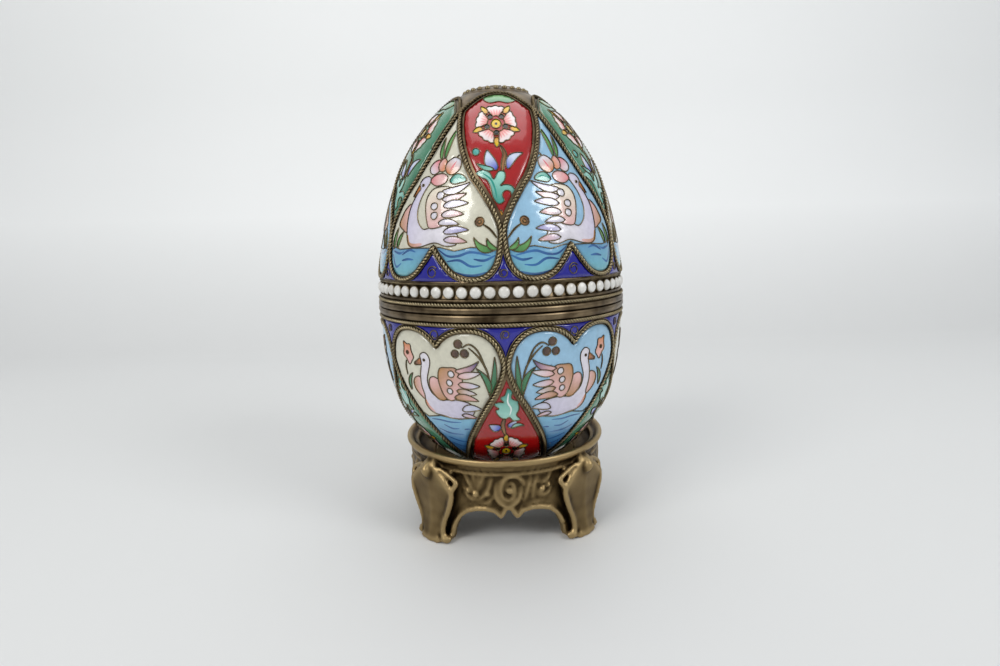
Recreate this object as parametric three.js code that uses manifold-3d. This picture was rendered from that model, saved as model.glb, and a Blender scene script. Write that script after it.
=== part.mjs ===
// Enamelled egg in two halves on a cast brass stand. Millimetres, +Z up, origin on the floor
// under the middle of the stand. Azimuths are degrees round the egg, from -Y towards +X.
// Heights on a half of the egg are measured away from the joint between the two halves.
import * as THREE from 'three';
import { mergeVertices } from 'three/addons/utils/BufferGeometryUtils.js';
import Module from 'manifold-3d';

const wasm = await Module();
wasm.setup();

// ---- driving dimensions ----
const seamHeight = 54;
const seamGap = 0.3;
const facetsRound = 24;
const panelsRound = 6;

// the true surface of each half is (r / radius)^2 + (height / reach)^power = 1
const lid = { name: 'lid', up: 1, radius: 29.7, reach: 50.3, power: 2, firstRow: 6.4, rows: 4 };
const base = { name: 'base', up: -1, radius: 29.5, reach: 42, power: 2.6, firstRow: 2.8, rows: 5 };

const clearance = 0.3;
const enamelThickness = 0.4;
const groundDepth = 0.9;
const wallThickness = 1.0;
const wireRise = 0.3;
const wireHalfWidth = 0.5;
const panelInset = wireHalfWidth + clearance + 0.1;
const swanPanelStrips = 8;
const flowerPanelStrips = 6;
const panelRows = 4;
const panelRowEasing = 1.35;

const bandRadius = 30;
const lipRadius = 29.9;
const mouthRadius = 27.9;
const sleeveGap = 0.35;
const sleeveThickness = 0.8;
const sleeveRise = 2.6;

const pearlCount = 63;
const pearlHeight = 4.4;
const pearlRadius = 1.25;
const pearlCrest = 30.1;
const pearlNeckCrest = 29.3;
const pearlSeatRadius = 28.75;

const crownRadius = 9.4;

const stand = {
  height: 21,
  rimRadius: 24.5,
  wallRadius: 23.7,
  boreRadius: 22,
  seatTop: 17.6,
  seatBottom: 16,
  seatRadius: 17.6,
  legs: 4,
  facets: 24,
};

// ---- colours and finishes ----
const paint = (color, roughness, metalness) => new THREE.MeshStandardMaterial({ color, roughness, metalness });
const finishes = {
  brass: paint(0x78643c, 0.42, 1),
  wireBrass: paint(0x6e5f46, 0.4, 1),
  cream: paint(0xded9c8, 0.18, 0),
  paleBlue: paint(0xa5c8e1, 0.18, 0),
  red: paint(0xaf1919, 0.18, 0),
  green: paint(0x3c7855, 0.18, 0),
  cobalt: paint(0x2328a0, 0.16, 0),
  white: paint(0xebe6e1, 0.22, 0),
};

// ---- surfaces that panels and wires lie on: azimuth, height, distance off the surface ----
const radians = THREE.MathUtils.degToRad;

function roundPoint(radius, azimuth, z) {
  const angle = radians(azimuth);
  return new THREE.Vector3(radius * Math.sin(angle), -radius * Math.cos(angle), z);
}

function eggRadius(half, height) {
  return half.radius * Math.sqrt(Math.max(0, 1 - (height / half.reach) ** half.power));
}

function eggNormal(half, height) {
  const outward = 2 * eggRadius(half, height) / half.radius ** 2;
  const along = half.power * height ** (half.power - 1) / half.reach ** half.power;
  return new THREE.Vector2(outward, along).normalize();
}

function eggSurface(half) {
  return (azimuth, height, offset) => {
    const normal = eggNormal(half, height);
    const radius = eggRadius(half, height) + offset * normal.x;
    return roundPoint(radius, azimuth, seamHeight + half.up * (height + offset * normal.y));
  };
}

function drumSurface(radius) {
  return (azimuth, z, offset) => roundPoint(radius + offset, azimuth, z);
}

// ---- solids ----
function meshGeometry(points, triangles) {
  const geometry = new THREE.BufferGeometry();
  geometry.setAttribute('position', new THREE.Float32BufferAttribute(points.flatMap((p) => p.toArray()), 3));
  geometry.setIndex(triangles.flat());
  return geometry;
}

// a closed geometry becomes a solid whose faces point out
function solid(geometry) {
  const bare = geometry.clone();
  bare.deleteAttribute('normal');
  bare.deleteAttribute('uv');
  const merged = mergeVertices(bare, 1e-4);
  const position = merged.getAttribute('position');
  const corners = [0, 1, 2].map(() => new THREE.Vector3());
  const kept = [];
  let volume = 0;
  for (let i = 0; i < merged.index.count; i += 3) {
    const face = [0, 1, 2].map((k) => merged.index.getX(i + k));
    if (face[0] === face[1] || face[1] === face[2] || face[2] === face[0]) continue;
    corners.forEach((corner, k) => corner.fromBufferAttribute(position, face[k]));
    volume += corners[0].dot(corners[1].clone().cross(corners[2]));
    kept.push(face);
  }
  if (volume < 0) kept.forEach((face) => face.reverse());
  return new wasm.Manifold(new wasm.Mesh({
    numProp: 3,
    vertProperties: new Float32Array(position.array),
    triVerts: new Uint32Array(kept.flat()),
  }));
}

function geometryOf(body) {
  const { vertProperties, triVerts } = body.getMesh();
  const geometry = new THREE.BufferGeometry();
  geometry.setAttribute('position', new THREE.BufferAttribute(new Float32Array(vertProperties), 3));
  geometry.setIndex(new THREE.BufferAttribute(new Uint32Array(triVerts), 1));
  const flat = geometry.toNonIndexed();
  flat.computeVertexNormals();
  return flat;
}

const joined = (bodies) => bodies.reduce((sum, body) => sum.add(body));

function turned(profile, facets) {
  const geometry = new THREE.LatheGeometry(profile.map(([r, z]) => new THREE.Vector2(r, z)), facets);
  return solid(geometry.rotateX(Math.PI / 2));
}

// a skin through rings of points, either closed on itself or with its two ends capped
function loft(rings, closed) {
  const size = rings[0].length;
  const triangles = [];
  const steps = closed ? rings.length : rings.length - 1;
  for (let i = 0; i < steps; i++) {
    const a = i * size;
    const b = ((i + 1) % rings.length) * size;
    for (let k = 0; k < size; k++) {
      const next = (k + 1) % size;
      triangles.push([a + k, b + k, b + next], [a + k, b + next, a + next]);
    }
  }
  const last = (rings.length - 1) * size;
  for (let k = 1; k < size - 1 && !closed; k++) {
    triangles.push([0, k, k + 1], [last, last + k + 1, last + k]);
  }
  return solid(meshGeometry(rings.flat(), triangles));
}

const flatPoints = (outline) => outline.map(([azimuth, height]) => new THREE.Vector2(azimuth, height));

// a block with the given outline on a surface, from one distance off it to another
function plug(surface, outline, from, to) {
  const around = THREE.ShapeUtils.isClockWise(flatPoints(outline)) ? outline.toReversed() : outline;
  const caps = THREE.ShapeUtils.triangulateShape(flatPoints(around), []);
  const count = around.length;
  const points = [from, to].flatMap((offset) => around.map(([a, h]) => surface(a, h, offset)));
  const triangles = [];
  caps.forEach(([a, b, c]) => triangles.push([c, b, a], [a + count, b + count, c + count]));
  for (let k = 0; k < count; k++) {
    const next = (k + 1) % count;
    triangles.push([k, next, next + count], [k, next + count, k + count]);
  }
  return solid(meshGeometry(points, triangles));
}

// a thin slab on a surface between two edges, each a list of [azimuth, height] in step with the other
function slab(surface, lowerEdge, upperEdge, rows, thickness) {
  const points = [];
  const index = (layer, i, j) => (layer * lowerEdge.length + i) * (rows + 1) + j;
  [0, -thickness].forEach((offset) => lowerEdge.forEach(([azimuth, low], i) => {
    for (let j = 0; j <= rows; j++) {
      const share = 1 - (1 - j / rows) ** panelRowEasing;
      points.push(surface(azimuth, low + (upperEdge[i][1] - low) * share, offset));
    }
  }));
  const triangles = [];
  const quad = (a, b, c, d) => triangles.push([a, b, c], [a, c, d]);
  const last = lowerEdge.length - 1;
  for (let i = 0; i < last; i++) {
    for (let j = 0; j < rows; j++) {
      quad(index(0, i, j), index(0, i + 1, j), index(0, i + 1, j + 1), index(0, i, j + 1));
      quad(index(1, i, j), index(1, i, j + 1), index(1, i + 1, j + 1), index(1, i + 1, j));
    }
    quad(index(0, i, 0), index(1, i, 0), index(1, i + 1, 0), index(0, i + 1, 0));
    quad(index(0, i, rows), index(0, i + 1, rows), index(1, i + 1, rows), index(1, i, rows));
  }
  for (let j = 0; j < rows; j++) {
    quad(index(0, 0, j), index(0, 0, j + 1), index(1, 0, j + 1), index(1, 0, j));
    quad(index(0, last, j), index(1, last, j), index(1, last, j + 1), index(0, last, j + 1));
  }
  return solid(meshGeometry(points, triangles));
}

// a raised wire along a path on a surface; section is a list of [sideways, off the surface]
function wire(surface, path, section, closed) {
  const at = (i) => path[(i + path.length) % path.length];
  const rings = path.map(([azimuth, height], i) => {
    const here = surface(azimuth, height, 0);
    const before = closed || i > 0 ? surface(...at(i - 1), 0) : here;
    const after = closed || i < path.length - 1 ? surface(...at(i + 1), 0) : here;
    const normal = surface(azimuth, height, 1).sub(here);
    const inward = before === here ? after.clone().sub(here) : here.clone().sub(before);
    const outward = after === here ? inward.clone() : after.clone().sub(here);
    const along = inward.normalize().add(outward.normalize());
    const side = normal.clone().cross(along.normalize()).normalize();
    const mitre = 1 / Math.max(0.5, along.dot(outward));
    return section.map(([s, n]) => here.clone().addScaledVector(side, s * mitre).addScaledVector(normal, n));
  });
  return loft(rings, closed);
}

// moves an outline inwards by a distance in millimetres, measured on the egg's surface
function inset(half, outline, distance) {
  const scaleOf = (height) => {
    const round = radians(eggRadius(half, height));
    const along = 1 / eggNormal(half, height).x;
    return new THREE.Vector2(round, along);
  };
  const turnsLeft = THREE.ShapeUtils.isClockWise(flatPoints(outline)) ? -1 : 1;
  return outline.map(([azimuth, height], i) => {
    const scale = scaleOf(height);
    const edge = (from, to) => new THREE.Vector2(...to).sub(new THREE.Vector2(...from)).multiply(scale).normalize();
    const before = edge(outline.at(i - 1), outline[i]);
    const after = edge(outline[i], outline[(i + 1) % outline.length]);
    const shift = new THREE.Vector2(-before.y - after.y, before.x + after.x);
    shift.multiplyScalar(turnsLeft * distance / Math.max(0.25, 1 + before.dot(after)));
    return [azimuth + shift.x / scale.x, height + shift.y / scale.y];
  });
}

const shifted = (outline, azimuth) => outline.map(([a, h]) => [a + azimuth, h]);

function smooth(controls, steps) {
  const curve = new THREE.SplineCurve(flatPoints(controls));
  return curve.getSpacedPoints(steps).map((p) => [p.x, p.y]);
}

// joins a right half, from one point on the middle line to another, with its mirror image
function bothSides(rightHalf) {
  const left = rightHalf.slice(1, -1).reverse().map(([a, h]) => [-a, h]);
  return [...rightHalf, ...left];
}

// ---- the pattern: hearts with their lobes at the joint, drops between them, and small
// three-cornered cells beside the band, given as [half width, height of foot, height of apex] ----
const sector = 360 / panelsRound;

const patterns = {
  lid: {
    lobe: [[0, 13.7], [8.5, 9.2], [16, 7.4], [24.5, 8.8], [28.9, 14]],
    flank: [[28.9, 14], [26.6, 20.6], [16.4, 27.9], [7.5, 35.4], [0, 42.4]],
    dropTip: 18.2,
    dropWidest: 26.5,
    archTop: 46.8,
    archFall: 4.5,
    cuspCell: [8.5, 6.9, 11.2],
    gapCell: [5.2, 6.9, 10],
  },
  base: {
    lobe: [[0, 7.4], [6.5, 4.8], [14.5, 3.7], [23.5, 5], [28.7, 10]],
    flank: [[28.7, 10], [25.6, 16.4], [20, 20.9], [10.6, 28.2], [0, 35.6]],
    dropTip: 13.2,
    dropWidest: 25,
    archTop: 38.3,
    archFall: 2.7,
    cuspCell: [6, 3.2, 5.6],
    gapCell: [5, 3.2, 5.8],
  },
};

const archHeight = (pattern, azimuth) => pattern.archTop - pattern.archFall * Math.abs(2 * azimuth / sector) ** 3;

// right halves: a heart from its cusp round the lobe to its tip, a drop from its tip to its arch
const lobeSteps = 4;
const flankSteps = 4;

function heartHalf(pattern) {
  return [...smooth(pattern.lobe, lobeSteps), ...smooth(pattern.flank, flankSteps).slice(1)];
}

function dropHalf(pattern) {
  const flank = smooth(pattern.flank, 2 * flankSteps).map(([a, h]) => [sector / 2 - a, h]);
  const side = flank.filter(([a, h]) => h > pattern.dropTip + 1 && a < pattern.dropWidest);
  const arch = [1, 0.72, 0.4, 0].map((share) => [share * pattern.dropWidest, archHeight(pattern, share * pattern.dropWidest)]);
  return [[0, pattern.dropTip], ...side, ...arch];
}

// the slab between the two edges of an outline whose right half runs from one middle point
// over the outermost point to the other middle point
function panelSlab(half, rightHalf, strips) {
  const widest = Math.max(...rightHalf.map(([a]) => a));
  const turnAt = rightHalf.findIndex(([a]) => a === widest);
  const edges = [rightHalf.slice(0, turnAt + 1), rightHalf.slice(turnAt).reverse()];
  const heightAt = (edge, azimuth) => {
    const next = Math.max(1, edge.findIndex(([a]) => a >= azimuth - 1e-6));
    const [from, to] = [edge[next - 1], edge[next]];
    return from[1] + (to[1] - from[1]) * (azimuth - from[0]) / (to[0] - from[0]);
  };
  return (azimuth) => {
    const [lower, upper] = edges.map((edge) => {
      const points = [];
      for (let i = 0; i <= strips; i++) {
        const across = widest * (2 * i / strips - 1);
        points.push([azimuth + across, heightAt(edge, Math.abs(across))]);
      }
      return points;
    });
    return slab(eggSurface(half), lower, upper, panelRows, enamelThickness);
  };
}

// ---- one half: the metal shell, its band at the joint and its wires ----
function meridian(half, offset) {
  const start = Math.asin((half.firstRow / half.reach) ** (half.power / 2));
  const rows = [];
  for (let i = 0; i <= half.rows; i++) {
    const angle = start + (Math.PI / 2 - start) * i / half.rows;
    const height = half.reach * Math.sin(angle) ** (2 / half.power);
    const point = eggSurface(half)(0, height, offset);
    rows.push([i === half.rows ? 0 : -point.y, point.z]);
  }
  return rows;
}

function shellProfile(half, band, mouth) {
  const level = ([r, height]) => [r, seamHeight + half.up * height];
  const outside = meridian(half, -groundDepth);
  const inside = meridian(half, -groundDepth - wallThickness);
  return [...inside.reverse(), ...mouth.map(level), ...band.map(level), ...outside];
}

const wireSection = [[-wireHalfWidth, clearance - groundDepth], [0, wireRise], [wireHalfWidth, clearance - groundDepth]];

// the soldered wires: one round each heart, and a scalloped ring that closes the drops
function wireFrame(half) {
  const pattern = patterns[half.name];
  const surface = eggSurface(half);
  const bodies = [];
  for (let i = 0; i < panelsRound; i++) {
    const path = shifted(bothSides(heartHalf(pattern)), sector * (i + 0.5));
    bodies.push(wire(surface, path, wireSection, true));
  }
  const ring = [];
  for (let azimuth = 0; azimuth < 360; azimuth += sector / 4) {
    const fromArch = (azimuth + sector / 2) % sector - sector / 2;
    ring.push([azimuth, archHeight(pattern, fromArch)]);
  }
  bodies.push(wire(surface, ring, wireSection, true));
  return joined(bodies);
}

function lidShell() {
  const band = [
    [lipRadius, seamGap / 2], [lipRadius, 1.3], [29.5, 1.5], [bandRadius, 1.95], [29.5, 2.4], [29.4, 2.8],
    [pearlSeatRadius, 2.85], [pearlSeatRadius, 5.95], [29.7, 6.05], [29.4, 6.3],
  ];
  return turned(shellProfile(lid, band, [[mouthRadius, 6], [mouthRadius, seamGap / 2]]), facetsRound);
}

// the lower half carries a low sleeve that the lid slips over
function baseShell() {
  const sleeve = mouthRadius - sleeveGap;
  const mouth = [
    [sleeve - sleeveThickness, 2.2], [sleeve - sleeveThickness, -sleeveRise], [sleeve, -sleeveRise], [sleeve, seamGap / 2],
  ];
  const band = [[lipRadius, seamGap / 2], [lipRadius, 1.4], [29.5, 1.6], [bandRadius, 2.1], [29.5, 2.55], [29.3, 2.7]];
  return turned(shellProfile(base, band, mouth), facetsRound);
}

// a ring of flat beads, joined at narrow necks
function pearlBand() {
  const rings = [];
  for (let i = 0; i < 2 * pearlCount; i++) {
    const azimuth = 180 * i / pearlCount;
    const bead = i % 2 === 0;
    const rise = bead ? pearlRadius : pearlRadius * 0.45;
    const crest = bead ? pearlCrest : pearlNeckCrest;
    const seat = pearlSeatRadius + clearance;
    const z = seamHeight + pearlHeight;
    rings.push([roundPoint(seat, azimuth, z - rise), roundPoint(crest, azimuth, z), roundPoint(seat, azimuth, z + rise)]);
  }
  return loft(rings, true);
}

// a round cap of enamel over the top of the lid, with a small boss in its middle
function crownMedallion() {
  const top = seamHeight + lid.reach;
  const heights = [1, 0.55].map((share) => lid.reach * Math.sqrt(1 - (share * crownRadius / lid.radius) ** 2));
  const rowAt = (height, offset) => {
    const point = eggSurface(lid)(0, height, offset);
    return [-point.y, point.z];
  };
  return turned([
    [0, top - enamelThickness], ...heights.toReversed().map((height) => rowAt(height, -enamelThickness)),
    ...heights.map((height) => rowAt(height, 0)), [2.4, top - 0.1], [1.8, top + 0.35], [0, top + 0.5],
  ], facetsRound);
}

// ---- stand: a cast ring with a seat for the egg, an arched apron and four legs ----
const legAzimuth = 360 / stand.legs / 2;

function standRing() {
  const { height, rimRadius, wallRadius, boreRadius, seatTop, seatBottom, seatRadius } = stand;
  return turned([
    [wallRadius, 0], [wallRadius, height - 2.2], [rimRadius - 0.1, height - 1.4], [rimRadius, height - 0.6],
    [rimRadius - 0.4, height], [rimRadius - 1.1, height], [boreRadius + 0.8, height - 0.8], [boreRadius, seatTop + 0.8],
    [seatRadius + 1, seatTop], [seatRadius, seatTop], [seatRadius, seatBottom], [boreRadius, seatBottom - 0.6],
    [boreRadius, 0], [wallRadius, 0],
  ], stand.facets);
}

const archEdge = [[0, 8.4], [4.5, 6.5], [8, 8], [15, 8.8], [23, 8], [29.5, 5.6], [33.5, 2], [35, 0]];

function archOpening() {
  const edge = [...archEdge, [35, -1]];
  const left = edge.slice(1).reverse().map(([a, z]) => [-a, z]);
  return [...left, ...edge];
}

const castRib = [[-0.8, -0.6], [0, 0.7], [0.8, -0.6]];

function scrollPath(azimuth, z) {
  const path = [];
  for (let i = 0; i <= 9; i++) {
    const angle = radians(-120 + 52 * i);
    const reach = 3.3 * (1 - 0.078 * i);
    path.push([azimuth + reach * Math.cos(angle) / radians(stand.wallRadius), z + reach * Math.sin(angle)]);
  }
  return path;
}

function apronSide(azimuth) {
  const surface = drumSurface(stand.wallRadius);
  const right = archEdge.filter(([, z]) => z > 1);
  const left = right.slice(1).reverse().map(([a, z]) => [-a, z]);
  const rib = shifted([...left, ...right], azimuth).map(([a, z]) => [a, z + 0.7]);
  return joined([wire(surface, rib, castRib, false), wire(surface, scrollPath(azimuth, 13.6), castRib, false)]);
}

// a leg: a tapering shield with a knob over it and a scroll down each edge,
// as [height, half width of the shield, its front radius, width of the scroll]
const legLevels = [
  [0, 3.5, 26.4, 0.9], [1.6, 3.1, 26.2, 0.9], [7, 4.2, 25.3, 1.1], [13.2, 6.4, 25.6, 1.5], [15.6, 6.2, 25.8, 0.7],
  [16.6, 3.2, 25.8, 0.3], [18.4, 2.4, 26, 0.3], [19.8, 1.4, 24.8, 0.2],
];
const legBack = 22.6;
const shieldEdge = 24.6;
const scrollFront = 24.9;
const bevel = 0.7;

function leg(azimuth) {
  const turn = new THREE.Matrix4().makeRotationZ(radians(azimuth));
  return loft(legLevels.map(([z, half, front, scroll]) => {
    const right = [
      [half + scroll, legBack], [half + scroll, scrollFront - 0.6], [half + 0.4 * scroll, Math.min(scrollFront, front)],
      [half, Math.min(shieldEdge, front)], [half - bevel, front],
    ];
    const section = [...right, ...right.toReversed().map(([side, radius]) => [-side, radius])];
    return section.map(([side, radius]) => new THREE.Vector3(side, -radius, z).applyMatrix4(turn));
  }), false);
}

function standCasting() {
  const quarter = 360 / stand.legs;
  let casting = standRing();
  for (let i = 0; i < stand.legs; i++) {
    const opening = plug(drumSurface(stand.wallRadius), shifted(archOpening(), i * quarter), -6, 6);
    casting = casting.subtract(opening);
  }
  for (let i = 0; i < stand.legs; i++) {
    casting = casting.add(apronSide(i * quarter)).add(leg(i * quarter + legAzimuth));
  }
  const underFloor = turned([[0, -3], [40, -3], [40, 0], [0, 0]], 16);
  return casting.subtract(underFloor);
}

// ---- assembly ----
const egg = new THREE.Group();

function addPiece(group, name, body, finish) {
  const mesh = new THREE.Mesh(geometryOf(body), finish);
  mesh.name = name;
  group.add(mesh);
}

function addEnamel(group, half) {
  const pattern = patterns[half.name];
  const surface = eggSurface(half);
  const narrowed = (rightHalf) => inset(half, bothSides(rightHalf), panelInset).slice(0, rightHalf.length);
  const heart = narrowed(heartHalf(pattern));
  const drop = narrowed(dropHalf(pattern));
  const cell = ([halfWidth, foot, apex]) => (azimuth) => {
    const edge = (middle) => [[azimuth - halfWidth, foot], [azimuth, middle], [azimuth + halfWidth, foot]];
    return slab(surface, edge(foot), edge(apex), 1, enamelThickness);
  };
  const kinds = [
    ['swan_panel', panelSlab(half, heart, swanPanelStrips), sector / 2, [finishes.paleBlue, finishes.cream]],
    ['flower_panel', panelSlab(half, drop, flowerPanelStrips), 0, [finishes.red, finishes.green]],
    ['blue_cell_cusp', cell(pattern.cuspCell), sector / 2, [finishes.cobalt, finishes.cobalt]],
    ['blue_cell_gap', cell(pattern.gapCell), 0, [finishes.cobalt, finishes.cobalt]],
  ];
  kinds.forEach(([kind, make, start, pair]) => {
    for (let i = 0; i < panelsRound; i++) {
      addPiece(group, `${half.name}_${kind}_${i + 1}`, make(start + i * sector), pair[i % 2]);
    }
  });
}

addPiece(egg, 'stand', standCasting(), finishes.brass);

const lower = new THREE.Group();
addPiece(lower, 'base_shell', baseShell(), finishes.wireBrass);
addPiece(lower, 'base_wires', wireFrame(base), finishes.wireBrass);
addEnamel(lower, base);
egg.add(lower);

const upper = new THREE.Group();
addPiece(upper, 'lid_shell', lidShell(), finishes.wireBrass);
addPiece(upper, 'lid_wires', wireFrame(lid), finishes.wireBrass);
addEnamel(upper, lid);
addPiece(upper, 'lid_pearl_band', pearlBand(), finishes.white);
addPiece(upper, 'crown_medallion', crownMedallion(), finishes.white);
egg.add(upper);

export default egg;
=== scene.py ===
import math

import bpy
import bmesh
import numpy as np
from mathutils import Matrix, Vector, geometry


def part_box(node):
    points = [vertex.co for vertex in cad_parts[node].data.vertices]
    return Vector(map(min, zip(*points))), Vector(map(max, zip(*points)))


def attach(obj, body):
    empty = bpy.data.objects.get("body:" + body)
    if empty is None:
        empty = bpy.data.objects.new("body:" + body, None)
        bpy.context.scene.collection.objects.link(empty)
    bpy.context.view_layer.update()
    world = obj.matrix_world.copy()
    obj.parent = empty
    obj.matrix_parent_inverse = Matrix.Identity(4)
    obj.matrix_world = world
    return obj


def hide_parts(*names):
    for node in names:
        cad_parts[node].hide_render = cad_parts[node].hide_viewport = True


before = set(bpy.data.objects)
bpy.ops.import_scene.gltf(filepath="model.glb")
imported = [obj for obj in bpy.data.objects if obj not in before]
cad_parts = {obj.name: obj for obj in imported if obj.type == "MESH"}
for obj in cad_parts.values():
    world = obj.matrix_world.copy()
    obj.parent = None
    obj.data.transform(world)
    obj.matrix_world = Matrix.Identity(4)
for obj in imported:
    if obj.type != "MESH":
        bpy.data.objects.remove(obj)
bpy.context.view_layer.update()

# ---------------------------------------------------------------------------
# Viewpoint: one camera in front of the egg, a little above its top and looking
# slightly down, turned a degree round it and held a degree and a half off level.
# ---------------------------------------------------------------------------
camera_data = bpy.data.cameras.new("viewpoint")
camera_data.lens = 21.6
camera_data.sensor_width = 36.0
camera_data.clip_start = 0.005
camera = bpy.data.objects.new("viewpoint", camera_data)
bpy.context.scene.collection.objects.link(camera)
camera_turn = math.radians(-1.2)
camera_pitch = 0.163
camera_roll = -0.027
camera.matrix_world = (
    Matrix.Rotation(camera_turn, 4, "Z")
    @ Matrix.Translation((-0.00045, -0.14955, 0.0700))
    @ Matrix.Rotation(math.pi / 2 - camera_pitch, 4, "X")
    @ Matrix.Rotation(camera_roll, 4, "Z")
)
bpy.context.scene.camera = camera

# ---------------------------------------------------------------------------
# Table and backdrop: one plain pale sheet that runs back and curves up into a wall,
# coloured darker on the floor and paler up the wall as painted shade, under two wide
# soft lights, one softbox overhead and a pale sky.
# ---------------------------------------------------------------------------
def mesh_object(name, verts, faces, smooth=True):
    mesh = bpy.data.meshes.new(name)
    mesh.from_pydata([tuple(v) for v in verts], [], [tuple(f) for f in faces])
    mesh.polygons.foreach_set("use_smooth", [smooth] * len(mesh.polygons))
    mesh.update()
    made = bpy.data.objects.new(name, mesh)
    bpy.context.scene.collection.objects.link(made)
    return made


def new_material(name):
    material = bpy.data.materials.new(name)
    material.use_nodes = True
    tree = material.node_tree
    return material, tree, tree.nodes["Principled BSDF"]


def add_node(tree, kind, **values):
    node = tree.nodes.new(kind)
    for key, value in values.items():
        setattr(node, key, value)
    return node


wall_distance = 0.42
sweep_radius = 0.20
sweep_width = 1.6
profile = [(-0.9, 0.0), (wall_distance - sweep_radius, 0.0)]
for step in range(1, 25):
    angle = math.pi / 2 * step / 24
    profile.append((
        wall_distance - sweep_radius + sweep_radius * math.sin(angle),
        sweep_radius - sweep_radius * math.cos(angle),
    ))
profile.append((wall_distance, 1.2))
sweep_verts = [(side * sweep_width, y, z) for y, z in profile for side in (-1, 1)]
sweep_faces = [(2 * i, 2 * i + 1, 2 * i + 3, 2 * i + 2) for i in range(len(profile) - 1)]
backdrop = mesh_object("backdrop", sweep_verts, sweep_faces)
material, tree, shader = new_material("pale_paper")
grain = add_node(tree, "ShaderNodeTexNoise")
grain.inputs["Scale"].default_value = 9.0
tint = add_node(tree, "ShaderNodeValToRGB")
tint.color_ramp.elements[0].color = (0.88, 0.89, 0.88, 1)
tint.color_ramp.elements[1].color = (0.92, 0.925, 0.92, 1)
tree.links.new(grain.outputs["Fac"], tint.inputs["Fac"])
place = add_node(tree, "ShaderNodeTexCoord")
split = add_node(tree, "ShaderNodeSeparateXYZ")
tree.links.new(place.outputs["Object"], split.inputs["Vector"])
# Painted shade: the sheet's colour is multiplied down to 0.74 on the floor and rises to full 9 cm up the
# sweep.
rise = add_node(tree, "ShaderNodeMapRange")
rise.inputs["From Max"].default_value = 0.09
rise.inputs["To Min"].default_value = 0.74
rise.inputs["To Max"].default_value = 1.0
tree.links.new(split.outputs["Z"], rise.inputs["Value"])
shade = add_node(tree, "ShaderNodeMix", data_type="RGBA", blend_type="MULTIPLY")
shade.inputs["Factor"].default_value = 1.0
tree.links.new(tint.outputs["Color"], shade.inputs["A"])
tree.links.new(rise.outputs["Result"], shade.inputs["B"])
tree.links.new(shade.outputs["Result"], shader.inputs["Base Color"])
shader.inputs["Roughness"].default_value = 0.55
backdrop.data.materials.append(material)

world = bpy.data.worlds.new("pale_sky")
world.use_nodes = True
world.node_tree.nodes["Background"].inputs["Color"].default_value = (0.93, 0.96, 1.0, 1)
world.node_tree.nodes["Background"].inputs["Strength"].default_value = 0.42
bpy.context.scene.world = world
bpy.context.scene.view_settings.view_transform = "Standard"


def softbox(name, place, size, watts, colour):
    light_data = bpy.data.lights.new(name, "AREA")
    light_data.shape = "RECTANGLE"
    light_data.size, light_data.size_y = size
    light_data.energy = watts
    light_data.color = colour
    light = bpy.data.objects.new(name, light_data)
    bpy.context.scene.collection.objects.link(light)
    light.location = place
    aim = Vector((0, 0, 0.05)) - Vector(place)
    light.rotation_euler = aim.to_track_quat("-Z", "Y").to_euler()


softbox("softbox_left", (-0.42, -0.42, 0.50), (0.30, 0.30), 2.1, (1.0, 0.99, 0.97))
softbox("softbox_right", (0.50, -0.36, 0.46), (0.26, 0.26), 1.7, (0.98, 0.99, 1.0))
softbox("softbox_top", (0.0, 0.05, 0.75), (0.60, 0.60), 1.7, (1.0, 1.0, 1.0))

# ---------------------------------------------------------------------------
# Metal shells: two spun copper-alloy bowls, brown with age between the wires,
# with a plain lip, a twisted wire band and, on the lid, a channel for beads.
# ---------------------------------------------------------------------------
mm = 0.001
seam = (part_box("lid_shell")[0][2] - 0.15 * mm) / mm
lid = {"up": 1, "radius": 29.7, "reach": 50.3, "power": 2.0}
base = {"up": -1, "radius": 29.5, "reach": 42.0, "power": 2.6}


def egg_radius(half, height):
    return half["radius"] * np.sqrt(np.clip(1 - (np.abs(height) / half["reach"]) ** half["power"], 0, 1))


def egg_normal(half, height):
    outward = 2 * egg_radius(half, height) / half["radius"] ** 2
    along = half["power"] * np.abs(height) ** (half["power"] - 1) / half["reach"] ** half["power"]
    length = np.hypot(outward, along)
    return outward / length, along / length


def on_egg(half, azimuth, height, off):
    """Points at azimuths and heights from the joint, off millimetres outside the enamel's face."""
    azimuth, height = np.radians(azimuth), np.asarray(height, float)
    outward, along = egg_normal(half, height)
    radius = egg_radius(half, height) + off * outward
    z = seam + half["up"] * (height + off * along)
    return np.stack([radius * np.sin(azimuth), -radius * np.cos(azimuth), z + 0 * azimuth], -1)


def lathe(name, outline, around):
    """A turned piece: outline is a closed list of (radius, z), or one that starts and ends on the axis."""
    outline = np.asarray(outline, float)
    angles = 2 * np.pi * np.arange(around) / around
    verts, rings = [], []
    for radius, z in outline:
        if radius < 1e-6:
            rings.append([len(verts)] * around)
            verts.append((0, 0, z))
        else:
            rings.append(list(range(len(verts), len(verts) + around)))
            verts += [(radius * math.sin(a), -radius * math.cos(a), z) for a in angles]
    on_axis = outline[0][0] < 1e-6
    faces = []
    for i in range(len(rings) - (1 if on_axis else 0)):
        lower, upper = rings[i], rings[(i + 1) % len(rings)]
        for k in range(around):
            n = (k + 1) % around
            face = [lower[k], lower[n], upper[n], upper[k]]
            face = [v for j, v in enumerate(face) if v != face[j - 1]]
            if len(face) > 2:
                faces.append(face)
    made = mesh_object(name, np.array(verts) * mm, faces)
    outward_faces(made)
    return made


def outward_faces(made):
    shape = bmesh.new()
    shape.from_mesh(made.data)
    bmesh.ops.recalc_face_normals(shape, faces=shape.faces)
    shape.to_mesh(made.data)
    shape.free()


ground_depth = 0.35
wall = 1.35


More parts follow.
